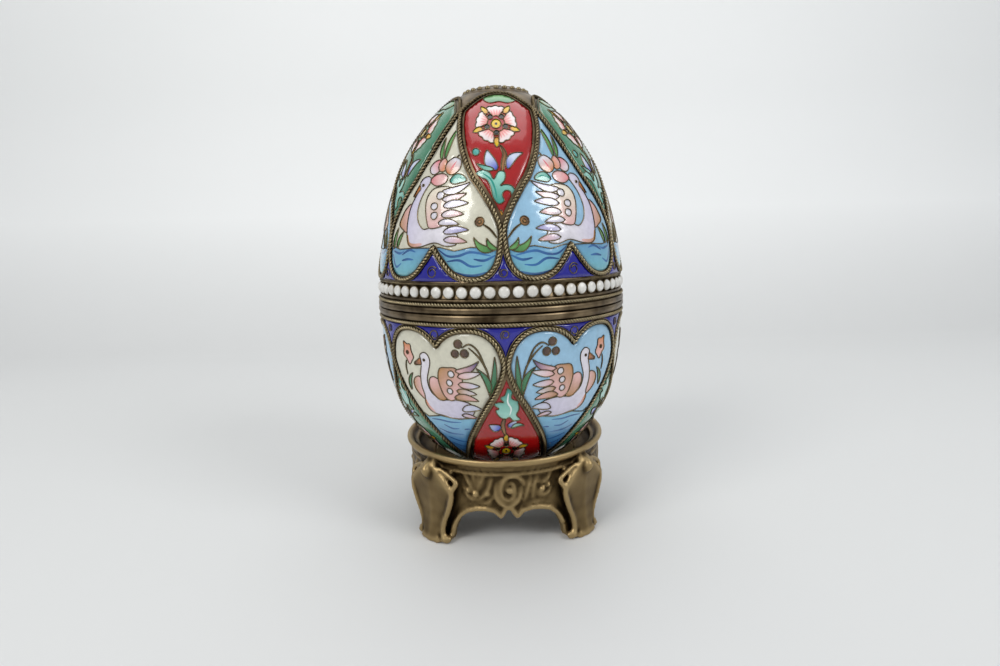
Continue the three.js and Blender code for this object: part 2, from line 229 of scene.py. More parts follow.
def shell_outline(half, band, mouth, first):
    start = math.asin((first / half["reach"]) ** (half["power"] / 2))
    swing = start + (math.pi / 2 - start) * np.linspace(0, 1, 40)
    heights = half["reach"] * np.sin(swing) ** (2 / half["power"])

    def row(off):
        points = on_egg(half, 0.0, heights, off)
        radii = -points[:, 1]
        radii[-1] = 0
        return [tuple(p) for p in np.stack([radii, points[:, 2]], -1)]

    edge = [(r, seam + half["up"] * h) for r, h in mouth + band]
    return row(-ground_depth - wall)[::-1] + edge + row(-ground_depth)


lid_band = [
    (29.72, 0.12), (29.92, 0.25), (29.95, 0.7), (29.9, 1.15), (29.75, 1.3), (29.35, 1.38), (29.3, 1.5),
    (29.3, 2.5), (29.45, 2.62), (29.42, 3.0), (29.1, 3.05), (28.95, 3.1), (28.95, 5.85), (29.15, 5.9),
    (29.2, 6.5),
]
lid_mouth = [(27.9, 6.0), (27.9, 0.12)]
base_band = [
    (29.72, 0.12), (29.95, 0.28), (29.98, 0.8), (29.85, 1.15), (29.75, 1.25), (29.78, 1.5), (29.5, 1.62),
    (29.3, 1.7),
    (29.3, 2.6),
]
base_mouth = [(26.75, 2.2), (26.75, -2.5), (26.85, -2.6), (27.45, -2.6), (27.55, -2.5), (27.55, 0.12)]
lid_shell = lathe("lid_metal", shell_outline(lid, lid_band, lid_mouth, 6.7), 144)
base_shell = lathe("base_metal", shell_outline(base, base_band, base_mouth, 2.9), 144)

def node_group(name, inputs, output):
    """A new shader node group with named number inputs and one named number output."""
    group = bpy.data.node_groups.new(name, "ShaderNodeTree")
    for socket in inputs:
        group.interface.new_socket(socket, in_out="INPUT", socket_type="NodeSocketFloat")
    group.interface.new_socket(output, in_out="OUTPUT", socket_type="NodeSocketFloat")
    return group, add_node(group, "NodeGroupInput"), add_node(group, "NodeGroupOutput")


def make_cloud_group():
    """Cloudy noise fixed to the object, from 0 to 1."""
    group, entry, result = node_group("object_cloud", ("Scale", "Detail"), "Mask")
    coords = add_node(group, "ShaderNodeTexCoord")
    noise = add_node(group, "ShaderNodeTexNoise")
    group.links.new(coords.outputs["Object"], noise.inputs["Vector"])
    group.links.new(entry.outputs["Scale"], noise.inputs["Scale"])
    group.links.new(entry.outputs["Detail"], noise.inputs["Detail"])
    group.links.new(noise.outputs["Fac"], result.inputs["Mask"])
    return group


cloud_group = make_cloud_group()


def cloud(tree, scale, detail):
    node = add_node(tree, "ShaderNodeGroup", node_tree=cloud_group)
    node.inputs["Scale"].default_value = scale
    node.inputs["Detail"].default_value = detail
    return node.outputs["Mask"]


def ramp(tree, mask, first, last, middle=None):
    """Colours a mask through stops of (position, colour)."""
    node = add_node(tree, "ShaderNodeValToRGB")
    for element, (position, colour) in zip(node.color_ramp.elements, (first, last)):
        element.position = position
        element.color = (*colour, 1)
    if middle:
        node.color_ramp.elements.new(middle[0]).color = (*middle[1], 1)
    tree.links.new(mask, node.inputs["Fac"])
    return node.outputs["Color"]


shell_brass, tree, shader = new_material("aged_shell_brass")
tone = ramp(tree, cloud(tree, 260.0, 6.0), (0.3, (0.045, 0.030, 0.016)), (0.75, (0.30, 0.225, 0.135)))
tree.links.new(tone, shader.inputs["Base Color"])
shader.inputs["Metallic"].default_value = 1.0
shader.inputs["Roughness"].default_value = 0.38
for shell, node in ((lid_shell, "lid_shell"), (base_shell, "base_shell")):
    shell.data.materials.append(shell_brass)
    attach(shell, "root")
    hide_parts(node)

# ---------------------------------------------------------------------------
# Twisted wires: pairs of brass wires twisted together and soldered on, one loop
# round each heart, a scalloped ring over the drops and a hoop beside each lip.
# ---------------------------------------------------------------------------
def bend(start, end, leaving, arriving, t):
    """A cubic from start to end with given slopes at both."""
    return (
        (2 * t ** 3 - 3 * t ** 2 + 1) * start + (t ** 3 - 2 * t ** 2 + t) * leaving
        + (3 * t ** 2 - 2 * t ** 3) * end + (t ** 3 - t ** 2) * arriving
    )


def through(points, step=0.3):
    """A smooth curve through given points, stepped evenly."""
    points = np.asarray(points, float)
    before = np.vstack([2 * points[0] - points[1], points[:-1]])
    after = np.vstack([points[1:], 2 * points[-1] - points[-2]])
    slopes = (after - before) / 2
    t = np.linspace(0, 1, 24, endpoint=False)[:, None]
    runs = [bend(*points[i:i + 2], *slopes[i:i + 2], t) for i in range(len(points) - 1)]
    return even(np.vstack(runs + [points[-1:]]), step)


def even(points, step):
    """The same line with its points a step apart."""
    lengths = np.concatenate([[0], np.cumsum(np.linalg.norm(np.diff(points, axis=0), axis=1))])
    count = max(2, int(round(lengths[-1] / step)) + 1)
    at = np.linspace(0, lengths[-1], count)
    return np.stack([np.interp(at, lengths, points[:, k]) for k in range(points.shape[1])], -1)


def unit(vectors):
    return vectors / np.maximum(np.linalg.norm(vectors, axis=-1, keepdims=True), 1e-12)


def tube_mesh(path, normals, radius, sides):
    """Verts and quads of a round wire along a path that closes on itself."""
    along = unit(np.roll(path, -1, 0) - np.roll(path, 1, 0))
    side = unit(np.cross(normals, along))
    up = np.cross(along, side)
    turn = 2 * np.pi * (np.arange(sides) + 0.5) / sides
    rings = (
        path[:, None] + radius * np.cos(turn)[None, :, None] * side[:, None]
        + radius * np.sin(turn)[None, :, None] * up[:, None]
    )
    count = len(path)
    i = np.arange(count)[:, None]
    k = np.arange(sides)[None, :]
    n, j = (k + 1) % sides, (i + 1) % count
    quads = np.stack([i * sides + k, j * sides + k, j * sides + n, i * sides + n], -1).reshape(-1, 4)
    return rings.reshape(-1, 3), [tuple(q[::-1]) for q in quads.tolist()]


def merge_parts(parts):
    verts, faces, start = [], [], 0
    for part_verts, part_faces in parts:
        verts.append(part_verts)
        faces += [tuple(v + start for v in face) for face in part_faces]
        start += len(part_verts)
    return np.vstack(verts), faces


def twist(path, normals, radius, pitch, per_turn=10, sides=5):
    """Two strands wound round a closed path; pitch is the length of one full turn."""
    lengths = np.linalg.norm(np.roll(path, -1, 0) - path, axis=1)
    at = np.concatenate([[0], np.cumsum(lengths)])
    total = at[-1]
    turns = max(1, round(total / pitch))
    spots = np.linspace(0, total, turns * per_turn, endpoint=False)
    ring = np.vstack([path, path[:1]])
    ring_normals = np.vstack([normals, normals[:1]])
    centre = np.stack([np.interp(spots, at, ring[:, k]) for k in range(3)], -1)
    normal = unit(np.stack([np.interp(spots, at, ring_normals[:, k]) for k in range(3)], -1))
    along = unit(np.roll(centre, -1, 0) - np.roll(centre, 1, 0))
    side = unit(np.cross(normal, along))
    parts = []
    for strand in (0, np.pi):
        phase = (2 * np.pi * turns * spots / total + strand)[:, None]
        outward = np.cos(phase) * side + np.sin(phase) * normal
        parts.append(tube_mesh(centre + radius * 0.5 * outward, unit(outward), radius * 0.54, sides))
    return merge_parts(parts)


def hoop_path(radius, z, step=0.6):
    """A level circle round the egg, in steps of so many degrees, and its outward directions."""
    around = np.radians(np.arange(0, 360, step))
    path = np.stack([radius * np.sin(around), -radius * np.cos(around), np.full_like(around, z)], -1)
    return path, unit(path * (1, 1, 0))


def store_tone(mesh, values):
    """Stores how far each point stands out, so the crests are coloured worn bright and the hollows between
    are darkened, partly as patina and partly as painted shade.
    """
    mesh.attributes.new("stand_out", "FLOAT", "POINT").data.foreach_set("value", values)


sector = 60.0
heart_sides = {
    "lid": [
        (0, 13.7), (4.2, 10.9), (9.5, 8.2), (16, 7.05), (23, 7.7), (27.4, 10.3), (29.1, 14.5), (29.1, 17.5),
        (26.4, 20.9), (20.5, 25.4), (16.4, 27.9), (11, 32.3), (5.6, 37.4), (2, 41), (0, 43.2),
    ],
    "base": [
        (0, 6.9), (3.2, 5.2), (8, 3.8), (14.5, 3.3), (21, 4), (26, 6.2), (28.6, 9.3), (28.9, 12),
        (25.6, 16.5), (20, 21), (15.2, 24.8), (10.6, 28.2), (4.8, 32.7), (0, 36),
    ],
}
arches = {"lid": (46.8, 4.5), "base": (38.3, 2.7)}
rope_radius = 0.46
rope_pitch = 1.68
rope_sink = 0.08
sunken_side = 0.45
crest = 0.40
ring_share = 0.9


def heart_curve(name):
    """The right side of a heart's rope as even steps of (azimuth, height)."""
    return through(heart_sides[name], 0.35)


def heart_loop(name):
    right = heart_curve(name)
    left = right[1:-1][::-1] * (-1, 1)
    return np.vstack([right, left])


def arch_curve(name, azimuth):
    top, fall = arches[name]
    return top - fall * np.abs(azimuth / (sector / 2)) ** 3


def egg_rope(half, loop, radius, pitch):
    """A rope that follows a closed loop of azimuths and heights on the egg."""
    points = on_egg(half, loop[:, 0], loop[:, 1], -rope_sink)
    points = even(np.vstack([points, points[:1]]), 0.3)[:-1]
    radius_here = np.linalg.norm(points[:, :2], axis=1)
    height_here = half["up"] * (points[:, 2] - seam)
    outward, along = egg_normal(half, np.clip(height_here, 0, half["reach"] * 0.999))
    normals = np.stack([
        outward * points[:, 0] / radius_here, outward * points[:, 1] / radius_here, half["up"] * along,
    ], -1)
    return twist(points, normals, radius, pitch)


def stand_out(made, half):
    """How far each point of a rope stands out between its sunken side, 0, and its crest, 1."""
    count = len(made.data.vertices)
    places = np.empty(count * 3)
    made.data.vertices.foreach_get("co", places)
    places = places.reshape(-1, 3) / mm
    height = half["up"] * (places[:, 2] - seam)
    radius = np.hypot(places[:, 0], places[:, 1])
    inside = (radius / half["radius"]) ** 2 + (np.abs(height) / half["reach"]) ** half["power"]
    outward, _ = egg_normal(half, np.clip(height, 0, half["reach"] * 0.999))
    off = (np.sqrt(inside) - 1) * radius * outward
    return np.clip((off + sunken_side) / (sunken_side + crest), 0, 1)


def rope_piece(name, half_name):
    half = {"lid": lid, "base": base}[half_name]
    parts = []
    for k in range(6):
        loop = heart_loop(half_name) + (sector * (k + 0.5), 0)
        parts.append(egg_rope(half, loop, rope_radius, rope_pitch))
    around = np.linspace(0, 360, 361)[:-1]
    from_arch = (around + sector / 2) % sector - sector / 2
    ring = np.stack([around, arch_curve(half_name, from_arch)], -1)
    parts.append(egg_rope(half, ring, rope_radius * ring_share, rope_pitch * ring_share))
    verts, faces = merge_parts(parts)
    made = mesh_object(name, verts * mm, faces)
    store_tone(made.data, stand_out(made, half))
    return made


def make_wear_group():
    """Crests worn bright and hollows darkened, partly as patina and partly as painted shade, broken up by
    cloudy patches.
    """
    sockets = ("Stand Out", "Scale", "Detail", "Patch Weight", "Shift")
    group, entry, result = node_group("wear_and_shade", sockets, "Tone")
    patches = add_node(group, "ShaderNodeGroup", node_tree=cloud_group)
    lowered = add_node(group, "ShaderNodeMath", operation="SUBTRACT")
    lifted = add_node(group, "ShaderNodeMath", operation="MULTIPLY_ADD")
    group.links.new(entry.outputs["Scale"], patches.inputs["Scale"])
    group.links.new(entry.outputs["Detail"], patches.inputs["Detail"])
    group.links.new(entry.outputs["Stand Out"], lowered.inputs[0])
    group.links.new(entry.outputs["Shift"], lowered.inputs[1])
    group.links.new(patches.outputs["Mask"], lifted.inputs[0])
    group.links.new(entry.outputs["Patch Weight"], lifted.inputs[1])
    group.links.new(lowered.outputs["Value"], lifted.inputs[2])
    group.links.new(lifted.outputs["Value"], result.inputs["Tone"])
    return group


wear_and_shade_group = make_wear_group()


def worn_brass(name, scale, detail, weight, shift, stops, roughness):
    """Aged brass whose crests are worn bright and whose hollows are darkened, partly as patina and partly
    as painted shade.
    """
    material, tree, shader = new_material(name)
    stored = add_node(tree, "ShaderNodeAttribute", attribute_name="stand_out")
    wear_and_shade = add_node(tree, "ShaderNodeGroup", node_tree=wear_and_shade_group)
    tree.links.new(stored.outputs["Fac"], wear_and_shade.inputs["Stand Out"])
    for socket, value in (("Scale", scale), ("Detail", detail), ("Patch Weight", weight), ("Shift", shift)):
        wear_and_shade.inputs[socket].default_value = value
    tree.links.new(ramp(tree, wear_and_shade.outputs["Tone"], *stops), shader.inputs["Base Color"])
    shader.inputs["Metallic"].default_value = 1.0
    shader.inputs["Roughness"].default_value = roughness
    return material, tree, shader


# The ramp runs from near black on the sunken sides and hollows, partly patina and partly painted shade, to
# bright brass on the worn crests.
wire_stops = ((0.15, (0.018, 0.011, 0.006)), (0.95, (0.40, 0.33, 0.20)), (0.55, (0.115, 0.086, 0.045)))
wire_brass = worn_brass("twisted_brass_wire", 420.0, 4.0, 0.5, 0.25, wire_stops, 0.34)[0]

for half_name in ("lid", "base"):
    ropes = rope_piece(half_name + "_twisted_wires", half_name)
    ropes.data.materials.append(wire_brass)
    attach(ropes, "root")
    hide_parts(half_name + "_wires")

# A hoop is its half, its height from the joint, the radius of its centre line and its own radius.
hoops = [("lid", lid, 1.95, 29.52, 0.4), ("base", base, 2.2, 29.5, 0.43)]
hoop_pitch = 1.5
for half_name, half, height, radius, thickness in hoops:
    verts, faces = twist(*hoop_path(radius, seam + half["up"] * height), thickness, hoop_pitch)
    hoop = mesh_object(half_name + "_twisted_hoop", verts * mm, faces)
    # Tone by how far out each point lies: bright on the outer crest, darkened on the side against the egg,
    # partly as patina and partly as painted shade.
    outward = (np.hypot(verts[:, 0], verts[:, 1]) - radius + thickness * 0.7) / (thickness * 1.7)
    store_tone(hoop.data, np.clip(outward, 0, 1))
    hoop.data.materials.append(wire_brass)
    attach(hoop, "root")

# ---------------------------------------------------------------------------
# Enamel pictures: painted enamel laid in low fields between the twisted wires,
# swans on water in the hearts and flowers in the drops, each drawn in fine wire.
# Sizes are millimetres across the panel and millimetres from the joint.
# ---------------------------------------------------------------------------
def rgb(red, green, blue):
    """A display colour of 0 to 255 as linear light."""
    shares = np.array([red, green, blue]) / 255
    return np.where(shares < 0.043, shares / 12.92, ((shares + 0.055) / 1.055) ** 2.4)


cream = rgb(214, 211, 192)
sky = rgb(150, 192, 220)
ruby = rgb(165, 14, 16)
leaf_ground = rgb(72, 134, 104)
cobalt = rgb(22, 22, 146)
swan_white = rgb(228, 224, 232)
lilac = rgb(210, 204, 226)
blush = rgb(232, 186, 184)
tan = rgb(186, 136, 84)
orange = rgb(214, 128, 60)
yellow = rgb(222, 186, 30)
black = rgb(16, 12, 14)
brown = rgb(88, 56, 34)
pink = rgb(226, 120, 128)
water_light = rgb(132, 190, 218)
water_deep = rgb(62, 118, 176)
water_line = rgb(30, 66, 120)
turquoise = rgb(118, 194, 190)
teal = rgb(44, 150, 134)
teal_light = rgb(170, 222, 208)
green = rgb(52, 116, 62)
green_light = rgb(120, 176, 100)
white_blue = rgb(208, 218, 238)
royal = rgb(58, 76, 196)


def signed_area(loop):
    x, y = loop[:, 0], loop[:, 1]
    return 0.5 * np.sum(x * np.roll(y, -1) - y * np.roll(x, -1))


def blob(points, step=0.36):
    """A smooth closed outline through given points."""
    points = np.asarray(points, float)
    slopes = (np.roll(points, -1, 0) - np.roll(points, 1, 0)) / 2
    points = np.vstack([points, points[:1]])
    slopes = np.vstack([slopes, slopes[:1]])
    t = np.linspace(0, 1, 12, endpoint=False)[:, None]
    runs = [bend(*points[i:i + 2], *slopes[i:i + 2], t) for i in range(len(points) - 1)]
    return even(np.vstack(runs + [points[:1]]), step)[:-1]


def corners(points, step=0.5):
    """A closed outline with sharp corners."""
    points = np.asarray(points, float)
    return np.vstack([even(np.array(side), step)[:-1] for side in zip(points, np.roll(points, -1, 0))])


def disc(x, h, radius, sides=14):
    turn = 2 * np.pi * np.arange(sides) / sides
    return np.stack([x + radius * np.cos(turn), h + radius * np.sin(turn)], -1)


def leaf(root, tip, width, bend=0.0):
    """A pointed blade from root to tip, bowed to one side."""
    root, tip = np.asarray(root, float), np.asarray(tip, float)
    t = np.linspace(0, 1, max(8, int(np.linalg.norm(tip - root) / 0.4)))[:, None]
    across = np.array([-(tip - root)[1], (tip - root)[0]]) / np.linalg.norm(tip - root)
    middle = root + (tip - root) * t + across * bend * 4 * t * (1 - t)
    half_width = width * np.sin(np.pi * t ** 0.75) ** 0.8
    return np.vstack([middle + across * half_width, (middle - across * half_width)[-2:0:-1]])


def ribbon(points, width):
    """A brush stroke through points, thin at both ends."""
    line = through(points, 0.4)
    along = unit(np.gradient(line, axis=0))
    across = np.stack([-along[:, 1], along[:, 0]], -1)
    half_width = width * np.sin(np.pi * np.linspace(0.04, 0.96, len(line)))[:, None] ** 0.5
    return np.vstack([line + across * half_width, (line - across * half_width)[::-1]])


def paint(outline, colour, far_colour=None, run=None, wired=True):
    """One field of a picture: its outline, its colour and the colour that it runs into."""
    outline = outline if signed_area(outline) > 0 else outline[::-1]
    far_colour = colour if far_colour is None else far_colour
    run = np.array(((0, 0), (1, 0)) if run is None else run, float)
    return {"outline": outline, "near": colour, "far": far_colour, "run": run, "wired": wired}


def flower(x, h, radius, first, petal_root, petal_edge):
    """Five scalloped petals round a yellow eye, with black dots and yellow sepals between them."""
    centre = np.array([x, h])

    def at(share, angle):
        return centre + np.stack([share * radius * np.cos(angle), share * radius * np.sin(angle)], -1)

    layers = []
    sweep = np.linspace(-0.52, 0.52, 17)
    scallops = 0.93 + 0.07 * np.abs(np.cos(sweep * 9))
    for k in range(5):
        middle = math.radians(first + 72 * k)
        gap = middle + math.radians(36)
        petal = np.vstack([at(scallops, middle + sweep), at(0.42, middle + sweep[::-4] * 0.6)])
        layers.append(paint(petal, petal_root, petal_edge, (at(0.4, middle), at(0.85, middle))))
        for lean in (-0.3, -0.1, 0.1, 0.3):
            vein = leaf(at(0.42, middle + lean), at(0.8, middle + lean), 0.1)
            layers.append(paint(vein, pink, pink, None, False))
        sepal = leaf(at(0.66, gap), at(1.2, gap), 0.62)
        layers.append(paint(sepal, orange, yellow, (at(0.6, gap), at(1.0, gap))))
        layers.append(paint(disc(*at(0.46, gap), 0.58), black))
    layers.append(paint(disc(x, h, 0.24 * radius), yellow))
    layers.append(paint(disc(x, h, 0.07 * radius, 8), black, None, None, False))
    return layers


def lid_swan():
    water = [
        (-17, 14.0), (-12.9, 14.1), (-9.9, 13.4), (-5.4, 13.6), (-1.1, 13.6), (1.7, 13.7), (5.0, 12.9),
        (8.5, 13.6), (17, 12.6), (17, 4), (-17, 4),
    ]
    high = water_light * 0.5 + water_deep * 0.5
    low = turquoise * 0.6 + water_light * 0.4
    layers = [paint(corners(water), high, low, ((0, 13.5), (0, 7.5)))]
    for points in (
        [(-12.8, 12.4), (-11.3, 9.7), (-9.2, 10.4)], [(-12.6, 13.1), (-10.0, 12.5), (-8.4, 12.9)],
        [(-9.0, 12.2), (-6.6, 13.2), (-4.6, 12.8)], [(-9.0, 11.0), (-7.0, 11.3), (-5.2, 11.2)],
        [(1.4, 13.2), (3.6, 11.9), (6.0, 11.9), (8.6, 12.6), (12.6, 11.8)],
        [(3.4, 10.8), (6.2, 11.0), (8.6, 9.8), (11.0, 9.9)],
        [(9.2, 11.2), (11.4, 10.9), (13.6, 11.9)], [(4.2, 8.9), (7.2, 8.1), (9.6, 8.0), (12.0, 8.6)],
    ):
        layers.append(paint(ribbon(points, 0.27), water_line, water_deep, (points[0], points[-1]), False))
    layers += [
        paint(leaf((-12.6, 13.4), (-11.0, 18.0), 0.5, 0.3), green, green_light, ((-12, 13), (-11, 18))),
        paint(leaf((-11.2, 13.5), (-8.8, 17.2), 0.5, 0.3), green, green_light, ((-11, 13), (-9, 17))),
        paint(leaf((13.8, 13.2), (8.9, 15.6), 0.7, 1.2), green, green_light, ((13.8, 13), (9, 15.6))),
        paint(leaf((14.0, 13.0), (11.6, 15.4), 0.5, 0.6), green_light, green, ((14, 13), (11, 16))),
        paint(ribbon([(10.6, 18.1), (12.2, 17.0), (13.8, 15.2)], 0.13), brown),
        paint(disc(9.9, 18.6, 0.95), brown, tan, ((9, 18.5), (11, 18.5))),
        paint(disc(9.9, 18.6, 0.4, 10), tan),
        paint(blob([(-6.9, 22.6), (-8.7, 22.0), (-10.0, 20.4), (-10.8, 18.6), (-9.4, 17.6),
            (-7.6, 17.2)]), blush, tan, ((-7, 20), (-11, 19))),
        paint(blob([
            (-3.2, 28.4), (-4.6, 28.0), (-5.4, 26.9), (-5.2, 25.8), (-6.3, 24.0), (-7.2, 22.3),
            (-7.7, 20.3), (-7.8, 17.6), (-7.3, 14.9),
            (-5.9, 13.8), (-3.0, 13.9), (0.3, 14.6), (3.0, 13.9), (5.4, 14.2), (5.6, 15.8), (4.0, 17.4),
            (1.0, 18.3), (-1.6, 17.6),
            (-2.9, 17.5), (-4.4, 19.0), (-4.9, 21.2), (-4.5, 23.3), (-3.6, 25.2), (-2.5, 26.8),
            (-2.3, 27.8),
        ]), swan_white, lilac, ((-1, 16), (-8, 18))),
        paint(ribbon([(-7.5, 16.4), (-7.0, 14.6), (-5.4, 14.1), (-3.0, 14.4)], 0.45), tan, blush,
            ((-7.4, 15), (-3, 14)), False),
        paint(corners([(-5.3, 26.9), (-6.9, 24.4), (-6.4, 24.2), (-4.9, 25.8)], 0.3), brown, orange,
            ((-7, 24), (-5, 26))),
        paint(disc(-4.3, 26.6, 0.28, 8), black),
        paint(blob([
            (-2.4, 24.4), (-1.1, 25.7), (1.3, 26.0), (3.4, 25.4), (3.8, 23.2), (3.0, 20.8), (2.8, 18.6),
            (1.0, 17.7), (-1.2, 17.6),
            (-2.0, 18.8), (-2.6, 21.0), (-2.8, 22.8),
        ]), rgb(236, 226, 206), blush, ((-1, 25), (1, 18))),
        paint(leaf((0.9, 25.0), (7.2, 26.7), 0.75, -0.7), swan_white, lilac, ((1, 25), (7, 26))),
        paint(leaf((1.2, 23.4), (6.6, 24.4), 0.75, -0.3), swan_white, blush, ((1, 23), (6.6, 24))),
        paint(leaf((1.6, 22.0), (7.3, 22.4), 0.8, 0.2), swan_white, lilac, ((1, 22), (7, 22))),
        paint(leaf((1.4, 20.2), (6.5, 20.2), 0.8, 0.2), swan_white, blush, ((1, 20), (6, 20))),
        paint(leaf((0.8, 18.6), (5.7, 18.2), 0.7, 0.3), swan_white, lilac, ((1, 18), (5.7, 18))),
        paint(leaf((2.2, 16.7), (7.9, 17.0), 0.75, 0.3), lilac, royal * 0.5 + lilac * 0.5,
            ((2, 17), (9, 17))),
        paint(leaf((2.4, 15.2), (7.7, 14.6), 0.7, 0.2), lilac, blush, ((2, 15), (7, 15))),
        paint(blob([(0.2, 24.9), (1.4, 24.8), (1.5, 23.8), (0.5, 23.4), (-0.2, 24.0)]), swan_white),
        paint(blob([(-1.0, 22.7), (0.1, 22.6), (0.3, 21.7), (-0.6, 21.3), (-1.4, 21.9)]), swan_white),
        paint(blob([(-0.9, 20.7), (0.2, 20.8), (0.5, 19.9), (-0.3, 19.3), (-1.1, 19.9)]), swan_white),
        paint(leaf((0.2, 31.6), (1.4, 38.6), 0.5, 0.3), green, green_light, ((0, 31), (1, 38))),
        paint(leaf((-0.6, 31.6), (-0.9, 36.6), 0.45, 0.3), green_light, green, ((0, 31), (-1, 36))),
        paint(ribbon([(2.8, 31.5), (4.0, 32.9), (5.2, 33.0)], 0.12), brown),
        paint(blob([(-0.8, 31.6), (-2.3, 31.3), (-3.2, 30.1), (-2.6, 28.9), (-1.4, 28.7), (-0.4, 29.6)]),
            swan_white, pink, ((-2.5, 29), (-0.5, 31))),
        paint(blob([(0.2, 32.0), (-0.9, 31.0), (-0.7, 29.5), (0.6, 29.1), (1.2, 30.6)]), blush, orange,
            ((-1, 31), (1, 30))),
        paint(blob([(2.2, 31.9), (0.8, 30.6), (1.2, 29.0), (2.6, 28.3), (4.1, 29.2), (4.3, 30.9),
            (3.3, 31.8)]), swan_white, orange, ((3.0, 31.4), (1.8, 28.6))),
        paint(leaf((2.0, 29.2), (3.2, 31.2), 0.2), pink, pink, None, False),
        paint(blob([(-2.4, 27.3), (-1.4, 28.5), (0.6, 28.7), (1.8, 27.9), (1.4, 26.7), (-0.6, 26.2)]),
            pink, blush, ((-3, 27), (0, 27.6))),
        paint(blob([(2.4, 27.2), (3.4, 28.4), (5.0, 28.2), (6.2, 27.0), (4.6, 26.5), (3.2, 26.4)]), teal,
            teal_light, ((3, 26.6), (5, 28))),
        paint(ribbon([(2.9, 27.0), (4.2, 27.7), (5.5, 27.1)], 0.14), teal, teal, None, False),
    ]
    return layers


